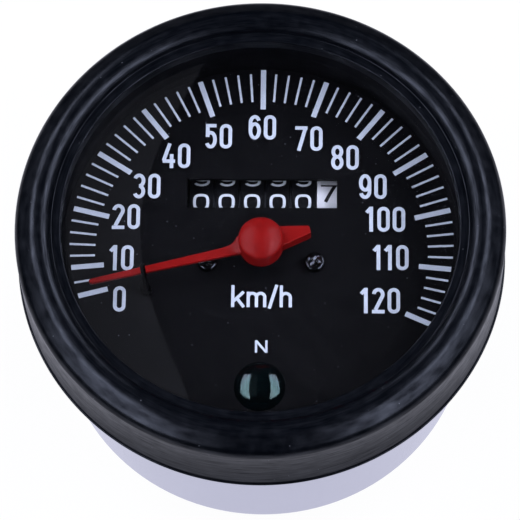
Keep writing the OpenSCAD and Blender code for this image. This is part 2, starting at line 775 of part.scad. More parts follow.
module drive_shaft() {
    color("silver") difference() {
        union() {
            rod(socket_r, bearing_z - side_gap - socket_len, bearing_z - side_gap);
            rod(journal_r, bearing_z - side_gap, base_top_z + side_gap);
            rod(shaft_r, base_top_z, shaft_top_z);
        }
        translate([-socket_w / 2, -socket_w / 2, bearing_z - side_gap - socket_len - EPS])
            cube([socket_w, socket_w, socket_len]);
        rod(pivot_r + running, shaft_top_z - pivot_hole_len, THROUGH);
    }
}

module drive_worm() {
    color("silver") translate([0, 0, cross_z]) worm(shaft_r + snug, -1);
}

module magnet() {
    color("dimgray") difference() {
        union() {
            rod(magnet_r, magnet_z, magnet_z + magnet_t);
            rod(shaft_r + magnet_collar_wall, cross_z + worm_len / 2, magnet_z);
        }
        rod(shaft_r + snug, -THROUGH, THROUGH);
    }
}

module worm_wheel() {
    color("ivory") translate([cross_x, 0, cross_z]) rotate([90, 0, 0])
        rotate(180 + 180 / worm_wheel_teeth) toothed_wheel(worm_wheel_teeth, worm_wheel_r,
            tooth_up, tooth_down, tooth_share, cross_r + snug);
}

module cross_shaft() {
    color("silver") translate([cross_x, 0, cross_z])
        rod_y(cross_r, cross_front_y - ear_t, cross_back_y + ear_t);
}

module cross_worm() {
    color("silver") translate([cross_x, lay_y, cross_z]) rotate([-90, 0, 0]) rotate(-90)
        worm(cross_r + snug, 1);
}

module cross_bracket() {
    color("lightsteelblue") {
        translate([cross_x - ear_w / 2, cross_front_y - ear_t, base_top_z])
            cube([ear_w, cross_back_y - cross_front_y + 2 * ear_t, strip_base_t]);
        for (y = [cross_front_y - ear_t, cross_back_y]) difference() {
            translate([cross_x, y, 0]) union() {
                translate([-ear_w / 2, 0, base_top_z]) cube([ear_w, ear_t, cross_z - base_top_z]);
                translate([0, 0, cross_z]) rod_y(ear_w / 2, 0, ear_t);
            }
            translate([cross_x, 0, cross_z]) rod_y(cross_r + running, -THROUGH, THROUGH);
        }
    }
}

module lay_wheel() {
    color("ivory") translate([cross_x, lay_y, lay_z]) rotate([0, 90, 0]) rotate(180 / lay_wheel_teeth)
        toothed_wheel(lay_wheel_teeth, lay_wheel_r, tooth_up, tooth_down, tooth_share, lay_r + snug);
}

module lay_shaft() {
    color("silver") translate([0, lay_y, lay_z]) rod_x(lay_r, post_x, right_cheek_x + cheek_t);
}

// Spur gear about X with a tooth, or with a gap, along an angle in the YZ plane
module spur(angle, turn, bore_r) {
    rotate([0, 90, 0]) rotate(90) rotate(angle + turn)
        toothed_wheel(spur_teeth, spur_r, ADDENDUM * spur_module, DEDENDUM * spur_module,
            tooth_share, bore_r);
}

module lay_gear() {
    color("ivory") translate([drum_gear_x, lay_y, lay_z]) spur(spur_angle, 0, lay_r + snug);
}

module drum_gear() {
    color("ivory") translate([drum_gear_x, drum_y, drum_z])
        spur(spur_angle + 180, 180 / spur_teeth, axle_r + running);
}

module lay_post() {
    color("lightsteelblue") difference() {
        union() {
            translate([post_x, lay_y - post_w / 2, base_top_z]) cube([cheek_t, post_w, lay_z - base_top_z]);
            translate([0, lay_y, lay_z]) rod_x(post_w / 2, post_x, post_x + cheek_t);
            translate([post_x - foot_l, lay_y - post_w / 2, base_top_z])
                cube([foot_l + EPS, post_w, cheek_t]);
        }
        translate([0, lay_y, lay_z]) rod_x(lay_r + running, -THROUGH, THROUGH);
    }
}

module drum_axle() {
    color("silver") translate([0, drum_y, drum_z]) rod_x(axle_r, left_cheek_x, right_cheek_x + cheek_t);
}

// Number drum: rim, web and hub, open to the left as a moulded drum is
module digit_drum(i) {
    left = row_left_x + (i - 1) * drum_pitch;
    color(i == DRUMS ? "whitesmoke" : "#17181a") translate([left, drum_y, drum_z]) rotate([0, 90, 0])
        difference() {
            rod(drum_r, 0, drum_w);
            difference() {
                rod(drum_r - drum_wall, -EPS, drum_w - drum_wall);
                rod(axle_r + running + drum_wall, -THROUGH, THROUGH);
            }
            rod(axle_r + running, -THROUGH, THROUGH);
        }
}

// Thin plates in the gaps between the drums, held from turning by the bar
module carrier_plates() {
    color("silver") for (i = [1:DRUMS - 1])
        translate([row_left_x + i * drum_pitch - (drum_pitch - drum_w) / 2 - carrier_t / 2, drum_y, drum_z])
            difference() {
                union() {
                    rod_x(drum_r - carrier_inset, 0, carrier_t);
                    translate([0, 0, -arm_w / 2]) cube([carrier_t, bar_y - drum_y + bar_w, arm_w]);
                }
                rod_x(axle_r + snug, -THROUGH, THROUGH);
                translate([-THROUGH, bar_y - drum_y - bar_w / 2 - snug, -bar_w / 2 - snug])
                    cube([2 * THROUGH, bar_w + 2 * snug, bar_w + 2 * snug]);
            }
}

module carrier_bar() {
    color("silver") translate([left_cheek_x, bar_y - bar_w / 2, drum_z - bar_w / 2])
        cube([right_cheek_x + cheek_t - left_cheek_x, bar_w, bar_w]);
}

// Upright plate that carries the axle and the bar, with a screwed foot to the given side
module cheek(x, side) {
    color("lightsteelblue") difference() {
        union() {
            translate([x, 0, 0]) rotate([90, 0, 90]) linear_extrude(cheek_t) {
                polygon([[cheek_foot_y0, base_top_z], [cheek_foot_y1, base_top_z],
                    [lay_y + post_w / 2, lay_z - post_w], [lay_y + post_w / 2, lay_z],
                    [bar_y + bar_w, drum_z - bar_w], [bar_y + bar_w, drum_z + bar_w],
                    [drum_y + cheek_front, cheek_top_z], [cheek_foot_y0, cheek_top_z],
                    [cheek_foot_y0, drum_z - cheek_neck]]);
            }
            translate([side > 0 ? x : x + cheek_t - foot_l, cheek_foot_y0, base_top_z])
                cube([foot_l, cheek_foot_y1 - cheek_foot_y0, cheek_t]);
        }
        translate([0, drum_y, drum_z]) rod_x(axle_r + snug, -THROUGH, THROUGH);
        translate([-THROUGH, bar_y - bar_w / 2 - snug, drum_z - bar_w / 2 - snug])
            cube([2 * THROUGH, bar_w + 2 * snug, bar_w + 2 * snug]);
        translate([0, lay_y, lay_z]) rod_x(lay_r + running, -THROUGH, THROUGH);
        at_each(CHEEK_SCREWS) rod(small_hole_r, -THROUGH, drum_z);
    }
}

module left_cheek() {
    cheek(left_cheek_x, -1);
}

module right_cheek() {
    cheek(right_cheek_x, 1);
}

module cheek_screws() {
    color("silver") translate([0, 0, base_top_z + cheek_t]) at_each(CHEEK_SCREWS)
        small_screw(cheek_t + screw_bite);
}

module mount_studs() {
    color("silver") at_each(STUDS) {
        rod(stud_r, can_floor_z - stud_len, can_floor_z);
        rod(stud_neck_r, can_floor_z, base_top_z);
        rod(stud_head_r, base_top_z, base_top_z + stud_head_h);
    }
}

module case_screws() {
    color("silver") at_each(CASE_SCREWS) {
        rod(case_screw_r, can_floor_z, base_top_z);
        rod(case_head_r, can_floor_z - case_head_h, can_floor_z);
    }
}

can();
rubber_ring();
glass();
spacer_ring();
dial();
dial_screws();
stop_pin();
pointer();
pointer_spindle();
speed_cup();
spring_collet();
hairspring();
spring_stud();
lamp_lens();
lamp_tube();
bulbs();
bulb_holders();
base_plate();
pillars();
bridge();
bridge_screws();
spindle_bush();
drive_nipple();
drive_shaft();
drive_worm();
magnet();
worm_wheel();
cross_shaft();
cross_worm();
cross_bracket();
lay_wheel();
lay_shaft();
lay_gear();
lay_post();
drum_gear();
drum_axle();
left_cheek();
right_cheek();
cheek_screws();
carrier_plates();
carrier_bar();
mount_studs();
case_screws();
for (i = [1:DRUMS]) digit_drum(i);
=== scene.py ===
"""Looks of a round vintage speedometer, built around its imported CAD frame.

Everything is in the frame of the CAD model: Z is the instrument's axis and points out of the dial, and
Y points to the top of the dial. Shapes are worked out in millimetres and put into the meshes in metres.
"""

import math
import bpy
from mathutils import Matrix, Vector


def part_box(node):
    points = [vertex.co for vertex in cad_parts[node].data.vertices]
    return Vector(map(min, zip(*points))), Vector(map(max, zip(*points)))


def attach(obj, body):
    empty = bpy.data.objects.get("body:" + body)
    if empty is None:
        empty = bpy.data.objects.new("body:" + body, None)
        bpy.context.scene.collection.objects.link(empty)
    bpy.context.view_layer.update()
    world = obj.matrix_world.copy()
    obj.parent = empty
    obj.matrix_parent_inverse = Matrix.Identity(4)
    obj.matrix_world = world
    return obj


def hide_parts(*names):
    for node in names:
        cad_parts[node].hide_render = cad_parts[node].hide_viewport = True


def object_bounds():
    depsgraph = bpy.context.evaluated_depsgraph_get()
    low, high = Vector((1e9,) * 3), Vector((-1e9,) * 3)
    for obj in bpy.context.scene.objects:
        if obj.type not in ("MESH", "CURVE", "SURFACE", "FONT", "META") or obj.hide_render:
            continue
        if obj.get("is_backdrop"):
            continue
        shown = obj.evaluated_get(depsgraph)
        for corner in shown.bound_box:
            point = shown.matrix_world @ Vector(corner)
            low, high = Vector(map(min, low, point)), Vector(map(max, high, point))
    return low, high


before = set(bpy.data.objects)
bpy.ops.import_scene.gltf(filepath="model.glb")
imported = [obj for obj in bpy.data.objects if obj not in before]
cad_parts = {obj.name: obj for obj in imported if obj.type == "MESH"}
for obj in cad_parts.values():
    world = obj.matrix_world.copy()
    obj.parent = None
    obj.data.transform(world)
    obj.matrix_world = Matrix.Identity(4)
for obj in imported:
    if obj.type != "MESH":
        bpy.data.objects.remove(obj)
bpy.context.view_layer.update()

from types import SimpleNamespace

import bmesh
import bpy
import numpy as np
from bpy.props import FloatProperty, FloatVectorProperty, PointerProperty
from mathutils import Matrix, Vector

bl_info = {
    "name": "Vintage speedometer looks",
    "version": (1, 0, 0),
    "blender": (4, 5, 0),
    "location": "View3D > Sidebar > Speedometer",
    "description": "Dresses the speedometer's CAD frame with its dial, pointer, glass, ring and finishes",
    "category": "Object",
}

MM = 0.001
# points closer than the first are one, and edges shorter than the second are dropped, in metres
WELD = 2e-7
LEAST_EDGE = 1e-8


def millimetres(node):
    """Lowest and highest corner of a CAD node, in millimetres."""
    low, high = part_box(node)
    return np.array(low) / MM, np.array(high) / MM


RING_HIGH = millimetres("rubber_ring")[1]
GLASS_LOW, GLASS_HIGH = millimetres("glass")
DIAL_LOW, DIAL_HIGH = millimetres("dial")
LENS_LOW, LENS_HIGH = millimetres("lamp_lens")
POINTER_LOW = millimetres("pointer")[0]
FACE_Z = float(DIAL_HIGH[2])
BACK_Z = float(millimetres("can")[0][2])
# the tip is the pointer's lowest x at rest, so that and the length give the angle at which it rests
POINTER_LEN = 33.0
REST_ANGLE = 180 + math.degrees(math.acos(-POINTER_LOW[0] / POINTER_LEN))
# the scale's value at the top of the dial, and the turn from one unit to the next
TOP_OF_SCALE = 60
DEGREES_PER_UNIT = 1.906
# print stands this proud of its face, and each stroke lies a layer above the last, a dozen at most
PRINT = 0.02
LAYER = 0.0005
LAYERS = 12


def linear(text):
    """A colour written as sRGB hex, in the linear numbers that a shader takes."""
    c = np.array([int(text[i:i + 2], 16) for i in (1, 3, 5)]) / 255
    return tuple(float(v) for v in np.where(c <= 0.04045, c / 12.92, ((c + 0.055) / 1.055) ** 2.4))


def length(name, description, default):
    """A size for the panel: its default is given in millimetres and kept in metres."""
    return FloatProperty(name=name, description=description, default=float(default) * MM, precision=5,
                         subtype="DISTANCE", unit="LENGTH")


def colour(name, description, default):
    """A colour for the panel, from its sRGB hex value."""
    return FloatVectorProperty(name=name, description=description, subtype="COLOR", size=3, min=0, max=1,
                               default=linear(default))


class RingLook(bpy.types.PropertyGroup):
    """Rubber ring and glass."""

    outer_r: length("Outer radius", "Radius of the rubber ring", RING_HIGH[0])
    top_z: length("Crest height", "Height of the ring's crest", RING_HIGH[2])
    shoulder_r: length("Shoulder", "Rounding between the ring's flank and its wall", 2.4)
    crest_r: length("Crest radius", "Distance of the crest from the axis", 41.3)
    crest_bend: length("Crest rounding", "Rounding of the crest", 2.9)
    flank: FloatProperty(name="Flank", description="Slope of the flank outside the crest",
                         default=math.radians(33), subtype="ANGLE", unit="ROTATION")
    lip_r: length("Lip radius", "Radius of the lip's opening", 37.0)
    lip_z: length("Lip height", "Height of the flat ledge round the opening", 15.6)
    ledge_r: length("Ledge radius", "Radius where the ledge meets the crest's inner side", 38.6)
    flash: length("Flash line", "How far the moulding's flash line stands out at the back edge", 0.4)
    dome: length("Glass dome", "Rise of the glass over its seat", 1.4)
    rubber: colour("Rubber", "Colour of the moulded rubber", "#04060b")


class DialLook(bpy.types.PropertyGroup):
    """Printed dial."""

    enamel: colour("Enamel", "Colour of the dial's matt enamel", "#060608")
    ink: colour("Ink", "Colour of the printed marks", "#c6cdd8")
    tick_outer: length("Tick outer radius", "Radius where the ticks end at the sides", 36.1)
    tick_long: length("Long tick radius", "Radius where the long ticks begin", 29.75)
    tick_short: length("Short tick radius", "Radius where the short ticks begin", 31.35)
    tick_long_w: length("Long tick width", "Width of the ticks at the tens", 1.0)
    tick_short_w: length("Short tick width", "Width of the other ticks", 0.42)
    numeral_h: length("Numeral height", "Height of the numerals", 5.1)
    numeral_w: length("Numeral width", "Width of one numeral", 2.35)
    numeral_stroke: length("Numeral stroke", "Stroke of the numerals", 0.7)


class PointerLook(bpy.types.PropertyGroup):
    """Pointer."""

    red: colour("Red", "Colour of the pointer's enamel", "#7c0b0a")
    tip_r: length("Length", "Distance of the tip from the axis", POINTER_LEN)
    tip_w: length("Tip width", "Width of the blade at its tip", 1.0)
    hub_r: length("Hub radius", "Radius of the hub", 4.2)
    hub_h: length("Hub height", "Height of the hub over the blade's underside", 5.4)
    tail_r: length("Tail length", "Distance of the tail's end from the axis", 9.5)
    tail_h: length("Tail height", "Height of the tail", 2.8)


class FittingsLook(bpy.types.PropertyGroup):
    """Screws, stop pin and lens on the dial."""

    lens_r: length("Lens radius", "Radius of the neutral lamp's lens", 4.8)
    lens: colour("Lens", "Colour of the lens", "#010506")
    screws: colour("Dial screws", "Colour of the blackened dial screws", "#56575c")
    pin_r: length("Pin radius", "Radius of the stop pin", 0.5)
    pin_foot_r: length("Pin foot", "Radius of the stop pin's foot", 1.1)
    pin_lean: FloatProperty(name="Pin lean", description="Lean of the stop pin towards the pointer",
                            default=math.radians(20), subtype="ANGLE", unit="ROTATION")


class OdometerLook(bpy.types.PropertyGroup):
    """Number drums."""

    drum_r: length("Drum radius", "Radius of the drums", 8.5)
    digit_h: length("Digit height", "Height of a digit round the drum", 3.45)
    digit_w: length("Digit width", "Width of a digit", 3.1)
    digit_stroke: length("Digit stroke", "Stroke of a digit", 0.55)
    tenths_h: length("Tenths height", "Height of a digit on the tenths drum", 4.1)
    tenths_stroke: length("Tenths stroke", "Stroke of a digit on the tenths drum", 0.68)
    black: colour("Black drums", "Colour of the five whole-number drums", "#0b0b0e")
    white: colour("White drum", "Colour of the tenths drum", "#dbdbdf")
    digits: colour("Digits", "Colour of the white digits", "#ced3da")


class CaseLook(bpy.types.PropertyGroup):
    """Can and the fittings on its back."""

    zinc: colour("Zinc", "Colour of the bright zinc plating", "#c2c2cb")
    brass: colour("Brass", "Colour of the brass pieces", "#c19a4e")
    nipple_pitch: length("Nipple pitch", "Pitch of the cable nipple's thread", 1)
    stud_pitch: length("Stud pitch", "Pitch of the studs' thread", 0.8)


class StageLook(bpy.types.PropertyGroup):
    """Floor, lamps and room."""

    floor: colour("Floor", "Colour of the floor", "#ffffff")
    mirrored: colour("Mirrored floor", "Colour of the floor in rubber and metal, under the cool lamps",
                     "#ecedff")
    light: colour("Light", "Colour of the lamps, a little cool", "#e9ecff")
    strip_power: FloatProperty(name="Strip lamps", description="Power of each side lamp", default=8.6,
                               subtype="POWER", unit="POWER")
    panel_power: FloatProperty(name="Overhead panel", description="Power of the dim panel overhead",
                               default=0.34, subtype="POWER", unit="POWER")
    sky: FloatProperty(name="Sky", description="Strength of the even light of the room", default=0.008, min=0)


def sizes(look):
    """The lengths of a property group, in millimetres, under their own names."""
    keys = [p.identifier for p in look.bl_rna.properties if p.unit == "LENGTH"]
    return SimpleNamespace(**{key: getattr(look, key) / MM for key in keys})


def add(tree, kind, inputs=None, **settings):
    """Adds a node with its settings; an input given as a socket is linked and any other value is set."""
    node = tree.nodes.new("ShaderNode" + kind)
    for key, value in settings.items():
        setattr(node, key, value)
    for key, value in (inputs or {}).items():
        if isinstance(value, bpy.types.NodeSocket):
            tree.links.new(value, node.inputs[key])
        else:
            node.inputs[key].default_value = value
    return node


def begin(name):
    """A new empty material, its node tree, and the Object coordinates that its patterns read."""
    material = bpy.data.materials.new(name)
    material.use_nodes = True
    material.node_tree.nodes.clear()
    return material, material.node_tree, add(material.node_tree, "TexCoord").outputs["Object"]


def per_mm(size):
    """Texture scale at which a pattern on Object coordinates repeats about every size millimetres."""
    return 1 / (size * MM)


def shade(c, k=1.0):
    """A colour times a factor, as a socket takes it."""
    return tuple(min(1.0, v * k) for v in c[:3]) + (1.0,)


def metal_finish(name, c, rough, grain_mm, stretch=(1, 1, 1), spread=0.12, bump_mm=0.002, cloud_mm=9):
    """Bare or plated metal: the colour varies in broad clouds, and the gloss along tool or rolling marks of
    a given width."""
    material, tree, place = begin(name)
    smoothest, roughest = 0.75 * rough, 1.3 * rough
    marks = add(tree, "Mapping", {"Vector": place, "Scale": stretch}).outputs[0]
    grain = add(tree, "TexNoise", {"Vector": marks, "Scale": per_mm(grain_mm), "Detail": 3.0}).outputs["Fac"]
    cloud = add(tree, "TexNoise", {"Vector": place, "Scale": per_mm(cloud_mm), "Detail": 2.0}).outputs["Fac"]
    tone = add(tree, "ValToRGB", {"Fac": cloud})
    tone.color_ramp.elements[0].color = shade(c, 1 - spread)
    tone.color_ramp.elements[1].color = shade(c)
    gloss = add(tree, "MapRange", {"Value": grain, "From Min": 0.3, "From Max": 0.7,
                                   "To Min": smoothest, "To Max": roughest}).outputs[0]
    relief = add(tree, "Bump", {"Strength": 0.35, "Distance": bump_mm * MM, "Height": grain}).outputs[0]
    shader = add(tree, "BsdfPrincipled", {"Base Color": tone.outputs[0], "Metallic": 1.0, "Roughness": gloss,
                                          "Normal": relief})
    add(tree, "OutputMaterial", {"Surface": shader.outputs[0]})
    return material


def round_streaks(tree, place, radius, long, fine):
    """Noise in streaks round the Z axis: it varies along the turn about every long mm at that radius, and
    along radius plus height about every fine mm."""
    flat = add(tree, "VectorMath", {0: place, 1: (1, 1, 0)}, operation="MULTIPLY").outputs[0]
    turn = add(tree, "VectorMath", {0: flat}, operation="NORMALIZE").outputs[0]
    turn = add(tree, "VectorMath", {0: turn, "Scale": radius / long}, operation="SCALE").outputs[0]
    out = add(tree, "VectorMath", {0: flat}, operation="LENGTH").outputs["Value"]
    height = add(tree, "SeparateXYZ", {0: place}).outputs["Z"]
    across = add(tree, "Math", {0: out, 1: height}, operation="ADD").outputs[0]
    across = add(tree, "Math", {0: across, 1: per_mm(fine)}, operation="MULTIPLY").outputs[0]
    across = add(tree, "CombineXYZ", {"Z": across}).outputs[0]
    spot = add(tree, "VectorMath", {0: turn, 1: across}, operation="ADD").outputs[0]
    return add(tree, "TexNoise", {"Vector": spot, "Scale": 1.0, "Detail": 4.0}).outputs["Fac"]


def moulded_finish(name, c, rough, grain_mm=0.35, bump_mm=0.006, spread=0.3, dust=0.0, specular=0.5,
                   mottle=0.15, cloud_mm=4.0, tint="#ffffff", edge_specular=None, rubbed_mm=None):
    """Moulded, printed or painted surface: a fine even grain, clouds in the colour and the gloss, specks of
    dust where there is any, a sheen that may differ where the surface is seen edge on, and streaks round
    the axis where it is rubbed, given by their radius, length and width."""
    material, tree, place = begin(name)
    grain = add(tree, "TexNoise", {"Vector": place, "Scale": per_mm(grain_mm), "Detail": 2.0}).outputs["Fac"]
    cloud = add(tree, "TexNoise", {"Vector": place, "Scale": per_mm(cloud_mm), "Detail": 4.0}).outputs["Fac"]
    tone = add(tree, "ValToRGB", {"Fac": cloud})
    tone.color_ramp.elements[0].position = 0.3
    tone.color_ramp.elements[0].color = shade(c, 1 - spread / 2)
    tone.color_ramp.elements[1].position = 0.7
    tone.color_ramp.elements[1].color = shade(c, 1 + spread / 2)
    paint = tone.outputs[0]
    if dust:
        dust_gap_mm, speck_share = 2.4, 0.05
        cells = add(tree, "TexVoronoi", {"Vector": place, "Scale": per_mm(dust_gap_mm)}).outputs["Distance"]
        speck = add(tree, "Math", {0: cells, 1: speck_share}, operation="LESS_THAN").outputs[0]
        shown = add(tree, "Math", {0: speck, 1: dust}, operation="MULTIPLY").outputs[0]
        paint = add(tree, "MixRGB", {"Fac": shown, "Color1": paint,
                                     "Color2": shade(linear("#a9adb8"))}).outputs[0]
    gloss = add(tree, "MapRange", {"Value": cloud, "From Min": 0.35, "From Max": 0.65,
                                   "To Min": rough * (1 - mottle), "To Max": rough * (1 + mottle)}).outputs[0]
    relief = add(tree, "Bump", {"Strength": 0.4, "Distance": bump_mm * MM, "Height": grain}).outputs[0]
    level = specular
    if edge_specular is not None:
        facing = add(tree, "LayerWeight", {"Blend": 0.5}).outputs["Facing"]
        level = add(tree, "MapRange", {"Value": facing, "From Min": 0.15, "From Max": 0.6,
                                       "To Min": specular, "To Max": edge_specular}).outputs[0]
    if rubbed_mm:
        dullest, brightest = 0.3, 1.4
        streak = round_streaks(tree, place, *rubbed_mm)
        wear = add(tree, "MapRange", {"Value": streak, "From Min": 0.3, "From Max": 0.7,
                                      "To Min": dullest, "To Max": brightest}).outputs[0]
        level = add(tree, "Math", {0: level, 1: wear}, operation="MULTIPLY").outputs[0]
    shader = add(tree, "BsdfPrincipled", {"Base Color": paint, "Roughness": gloss, "Normal": relief,
                                          "Specular IOR Level": level,
                                          "Specular Tint": shade(linear(tint))})
    add(tree, "OutputMaterial", {"Surface": shader.outputs[0]})
    return material


def glass_finish(name, c):
    """Clear glass, drawn and ground: it passes what is behind it and mirrors the lamps, with a trace of
    haze in broad clouds."""
    material, tree, place = begin(name)
    haze_mm, haziest = 12, 0.02
    haze = add(tree, "TexNoise", {"Vector": place, "Scale": per_mm(haze_mm), "Detail": 2.0}).outputs["Fac"]
    gloss = add(tree, "MapRange", {"Value": haze, "To Min": 0.0, "To Max": haziest}).outputs[0]
    shader = add(tree, "BsdfPrincipled", {"Base Color": shade(c), "Roughness": gloss, "IOR": 1.5,
                                          "Transmission Weight": 1.0})
    add(tree, "OutputMaterial", {"Surface": shader.outputs[0]})
    return material


def sheet_faces(rows, cols, wrap_rows, wrap_cols, first):
    """Quads of a grid of points: each joins a point, its neighbour in the row and the two after them."""
    i = np.arange(rows if wrap_rows else rows - 1)[:, None]
    j = np.arange(cols if wrap_cols else cols - 1)[None, :]
    i2, j2 = (i + 1) % rows, (j + 1) % cols
    return (first + np.stack([i * cols + j, i * cols + j2, i2 * cols + j2, i2 * cols + j], -1)).reshape(-1, 4)


def make_piece(name, sheets, material, body, replaces=(), sharp=35):
    """One mesh from closed sheets of points in mm, given as (points, wrap_rows, wrap_cols), on a CAD body."""
    points, faces, first = [], [], 0
    for grid, wrap_rows, wrap_cols in sheets:
        rows, cols = grid.shape[:2]
        points.append(grid.reshape(-1, 3))
        faces.append(sheet_faces(rows, cols, wrap_rows, wrap_cols, first))
        first += rows * cols
    mesh = bpy.data.meshes.new(name)
    mesh.from_pydata((np.concatenate(points) * MM).tolist(), [], np.concatenate(faces).tolist())
    shell = bmesh.new()
    shell.from_mesh(mesh)
    bmesh.ops.remove_doubles(shell, verts=shell.verts, dist=WELD)
    bmesh.ops.dissolve_degenerate(shell, edges=shell.edges, dist=LEAST_EDGE)
    bmesh.ops.recalc_face_normals(shell, faces=shell.faces)
    shell.to_mesh(mesh)
    shell.free()
    if not mesh.polygons:
        raise RuntimeError(f"{name} has no faces")
    mesh.polygons.foreach_set("use_smooth", np.ones(len(mesh.polygons), bool))
    mesh.set_sharp_from_angle(angle=math.radians(sharp))
    mesh.materials.append(material)
    piece = bpy.data.objects.new(name, mesh)
    bpy.context.scene.collection.objects.link(piece)
    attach(piece, body)
    if replaces:
        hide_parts(*replaces)
    return piece


def arc(centre, radii, start, end, steps=14):
    """Points of an ellipse about a centre, from one angle to another, in degrees."""
    a = np.radians(np.linspace(start, end, steps))
    return np.column_stack([centre[0] + radii[0] * np.cos(a), centre[1] + radii[1] * np.sin(a)])


def rounded(corners, cuts, steps=7):
    """An outline whose corners are replaced by parabolas that begin a cut's length before each corner."""
    p = np.array(corners, float)
    before, after = np.roll(p, 1, 0) - p, np.roll(p, -1, 0) - p
    cut = np.array(cuts, float)[:, None]
    a = p + before / np.linalg.norm(before, axis=1)[:, None] * cut
    b = p + after / np.linalg.norm(after, axis=1)[:, None] * cut
    t = np.linspace(0, 1, steps)[None, :, None]
    return ((1 - t) ** 2 * a[:, None] + 2 * t * (1 - t) * p[:, None] + t ** 2 * b[:, None]).reshape(-1, 2)


def turned(profile, steps, at=(0, 0)):
    """Turns a profile of (radius, height) about a vertical axis: x and y are the radius times the cosine
    and the sine of the turn."""
    a = np.linspace(0, 2 * np.pi, steps, endpoint=False)
    r, z = profile[:, 0][:, None], profile[:, 1][:, None]
    return np.stack([at[0] + r * np.cos(a), at[1] + r * np.sin(a), z + 0 * a], -1)


def spun(points, degrees):
    """The same points turned about the dial's axis."""
    c, s = math.cos(math.radians(degrees)), math.sin(math.radians(degrees))
    return points @ np.array([[c, s, 0], [-s, c, 0], [0, 0, 1]])


def cap(radius, rise, top_z, start, steps):
    """Profile of a spherical cap with that radius and rise under top_z, from start degrees inside its rim."""
    ball = (radius ** 2 + rise ** 2) / (2 * rise)
    half = math.degrees(math.asin(radius / ball))
    return arc((0, top_z - ball), (ball, ball), 90 - half + start, 90, steps)


def squared(v, power):
    """Sines or cosines raised to a power with their sign kept: below 1 it presses a circle into a square."""
    return np.sign(v) * np.abs(v) ** power


def round_end(past, run):
    """Share of the width that a rounded end leaves: the height of a quarter circle over its run."""
    return np.sqrt(np.clip(1 - (np.clip(past, 0, None) / run) ** 2, 0, 1))


def bar_loft(x, right, left, z0, z1, corner=5.0, steps=28):
    """Bar along X whose section at each x is a squared-off ellipse between -right and left across and
    between z0 and z1 in height, with both ends drawn together to their middles."""
    u = np.linspace(0, 2 * np.pi, steps, endpoint=False)
    across = squared(np.cos(u), 2 / corner)
    upright = squared(np.sin(u), 2 / corner)
    x, right, left, z0, z1 = (np.broadcast_to(v, np.shape(x))[:, None] for v in (x, right, left, z0, z1))
    body = np.stack([x + 0 * u, (left - right) / 2 + (left + right) / 2 * across,
                     (z0 + z1) / 2 + (z1 - z0) / 2 * upright], -1)
    ends = [np.repeat(body[k].mean(0)[None, None], steps, 1) for k in (0, -1)]
    return np.concatenate([ends[0], body, ends[1]])


def ribbon(path, width, low, high):
    """A stroke: a rectangle of that width and height carried along a flat path. Gives rows of four corners
    as (x, y, height) and whether the path closes on itself; open ends are drawn together to a point."""
    closed = np.linalg.norm(path[0] - path[-1]) < 1e-6
    p = path[:-1] if closed else path
    along = (np.roll(p, -1, 0) - np.roll(p, 1, 0)) if closed else np.gradient(p, axis=0)
    along = along / np.linalg.norm(along, axis=1)[:, None]
    side = np.column_stack([-along[:, 1], along[:, 0]]) * width / 2
    corners = [np.column_stack([p + k * side, np.full(len(p), h)])
               for k, h in ((1, low), (1, high), (-1, high), (-1, low))]
    rows = np.stack(corners, 1)
    if not closed:
        ends = [np.repeat(rows[k].mean(0)[None, None], 4, 1) for k in (0, -1)]
        rows = np.concatenate([ends[0], rows, ends[1]])
    return rows, closed


def evenly(path, gap=0.25):
    """The same path with points about a gap apart, so that it can be bent round a drum."""
    step = np.linalg.norm(np.diff(path, axis=0), axis=1)
    run = np.concatenate([[0], np.cumsum(step)])
    at = np.linspace(0, run[-1], max(3, int(run[-1] / gap) + 2))
    return np.column_stack([np.interp(at, run, path[:, k]) for k in (0, 1)])


def line(*points):
    """Centre line of a stroke that runs straight from point to point."""
    return np.array(points, float)


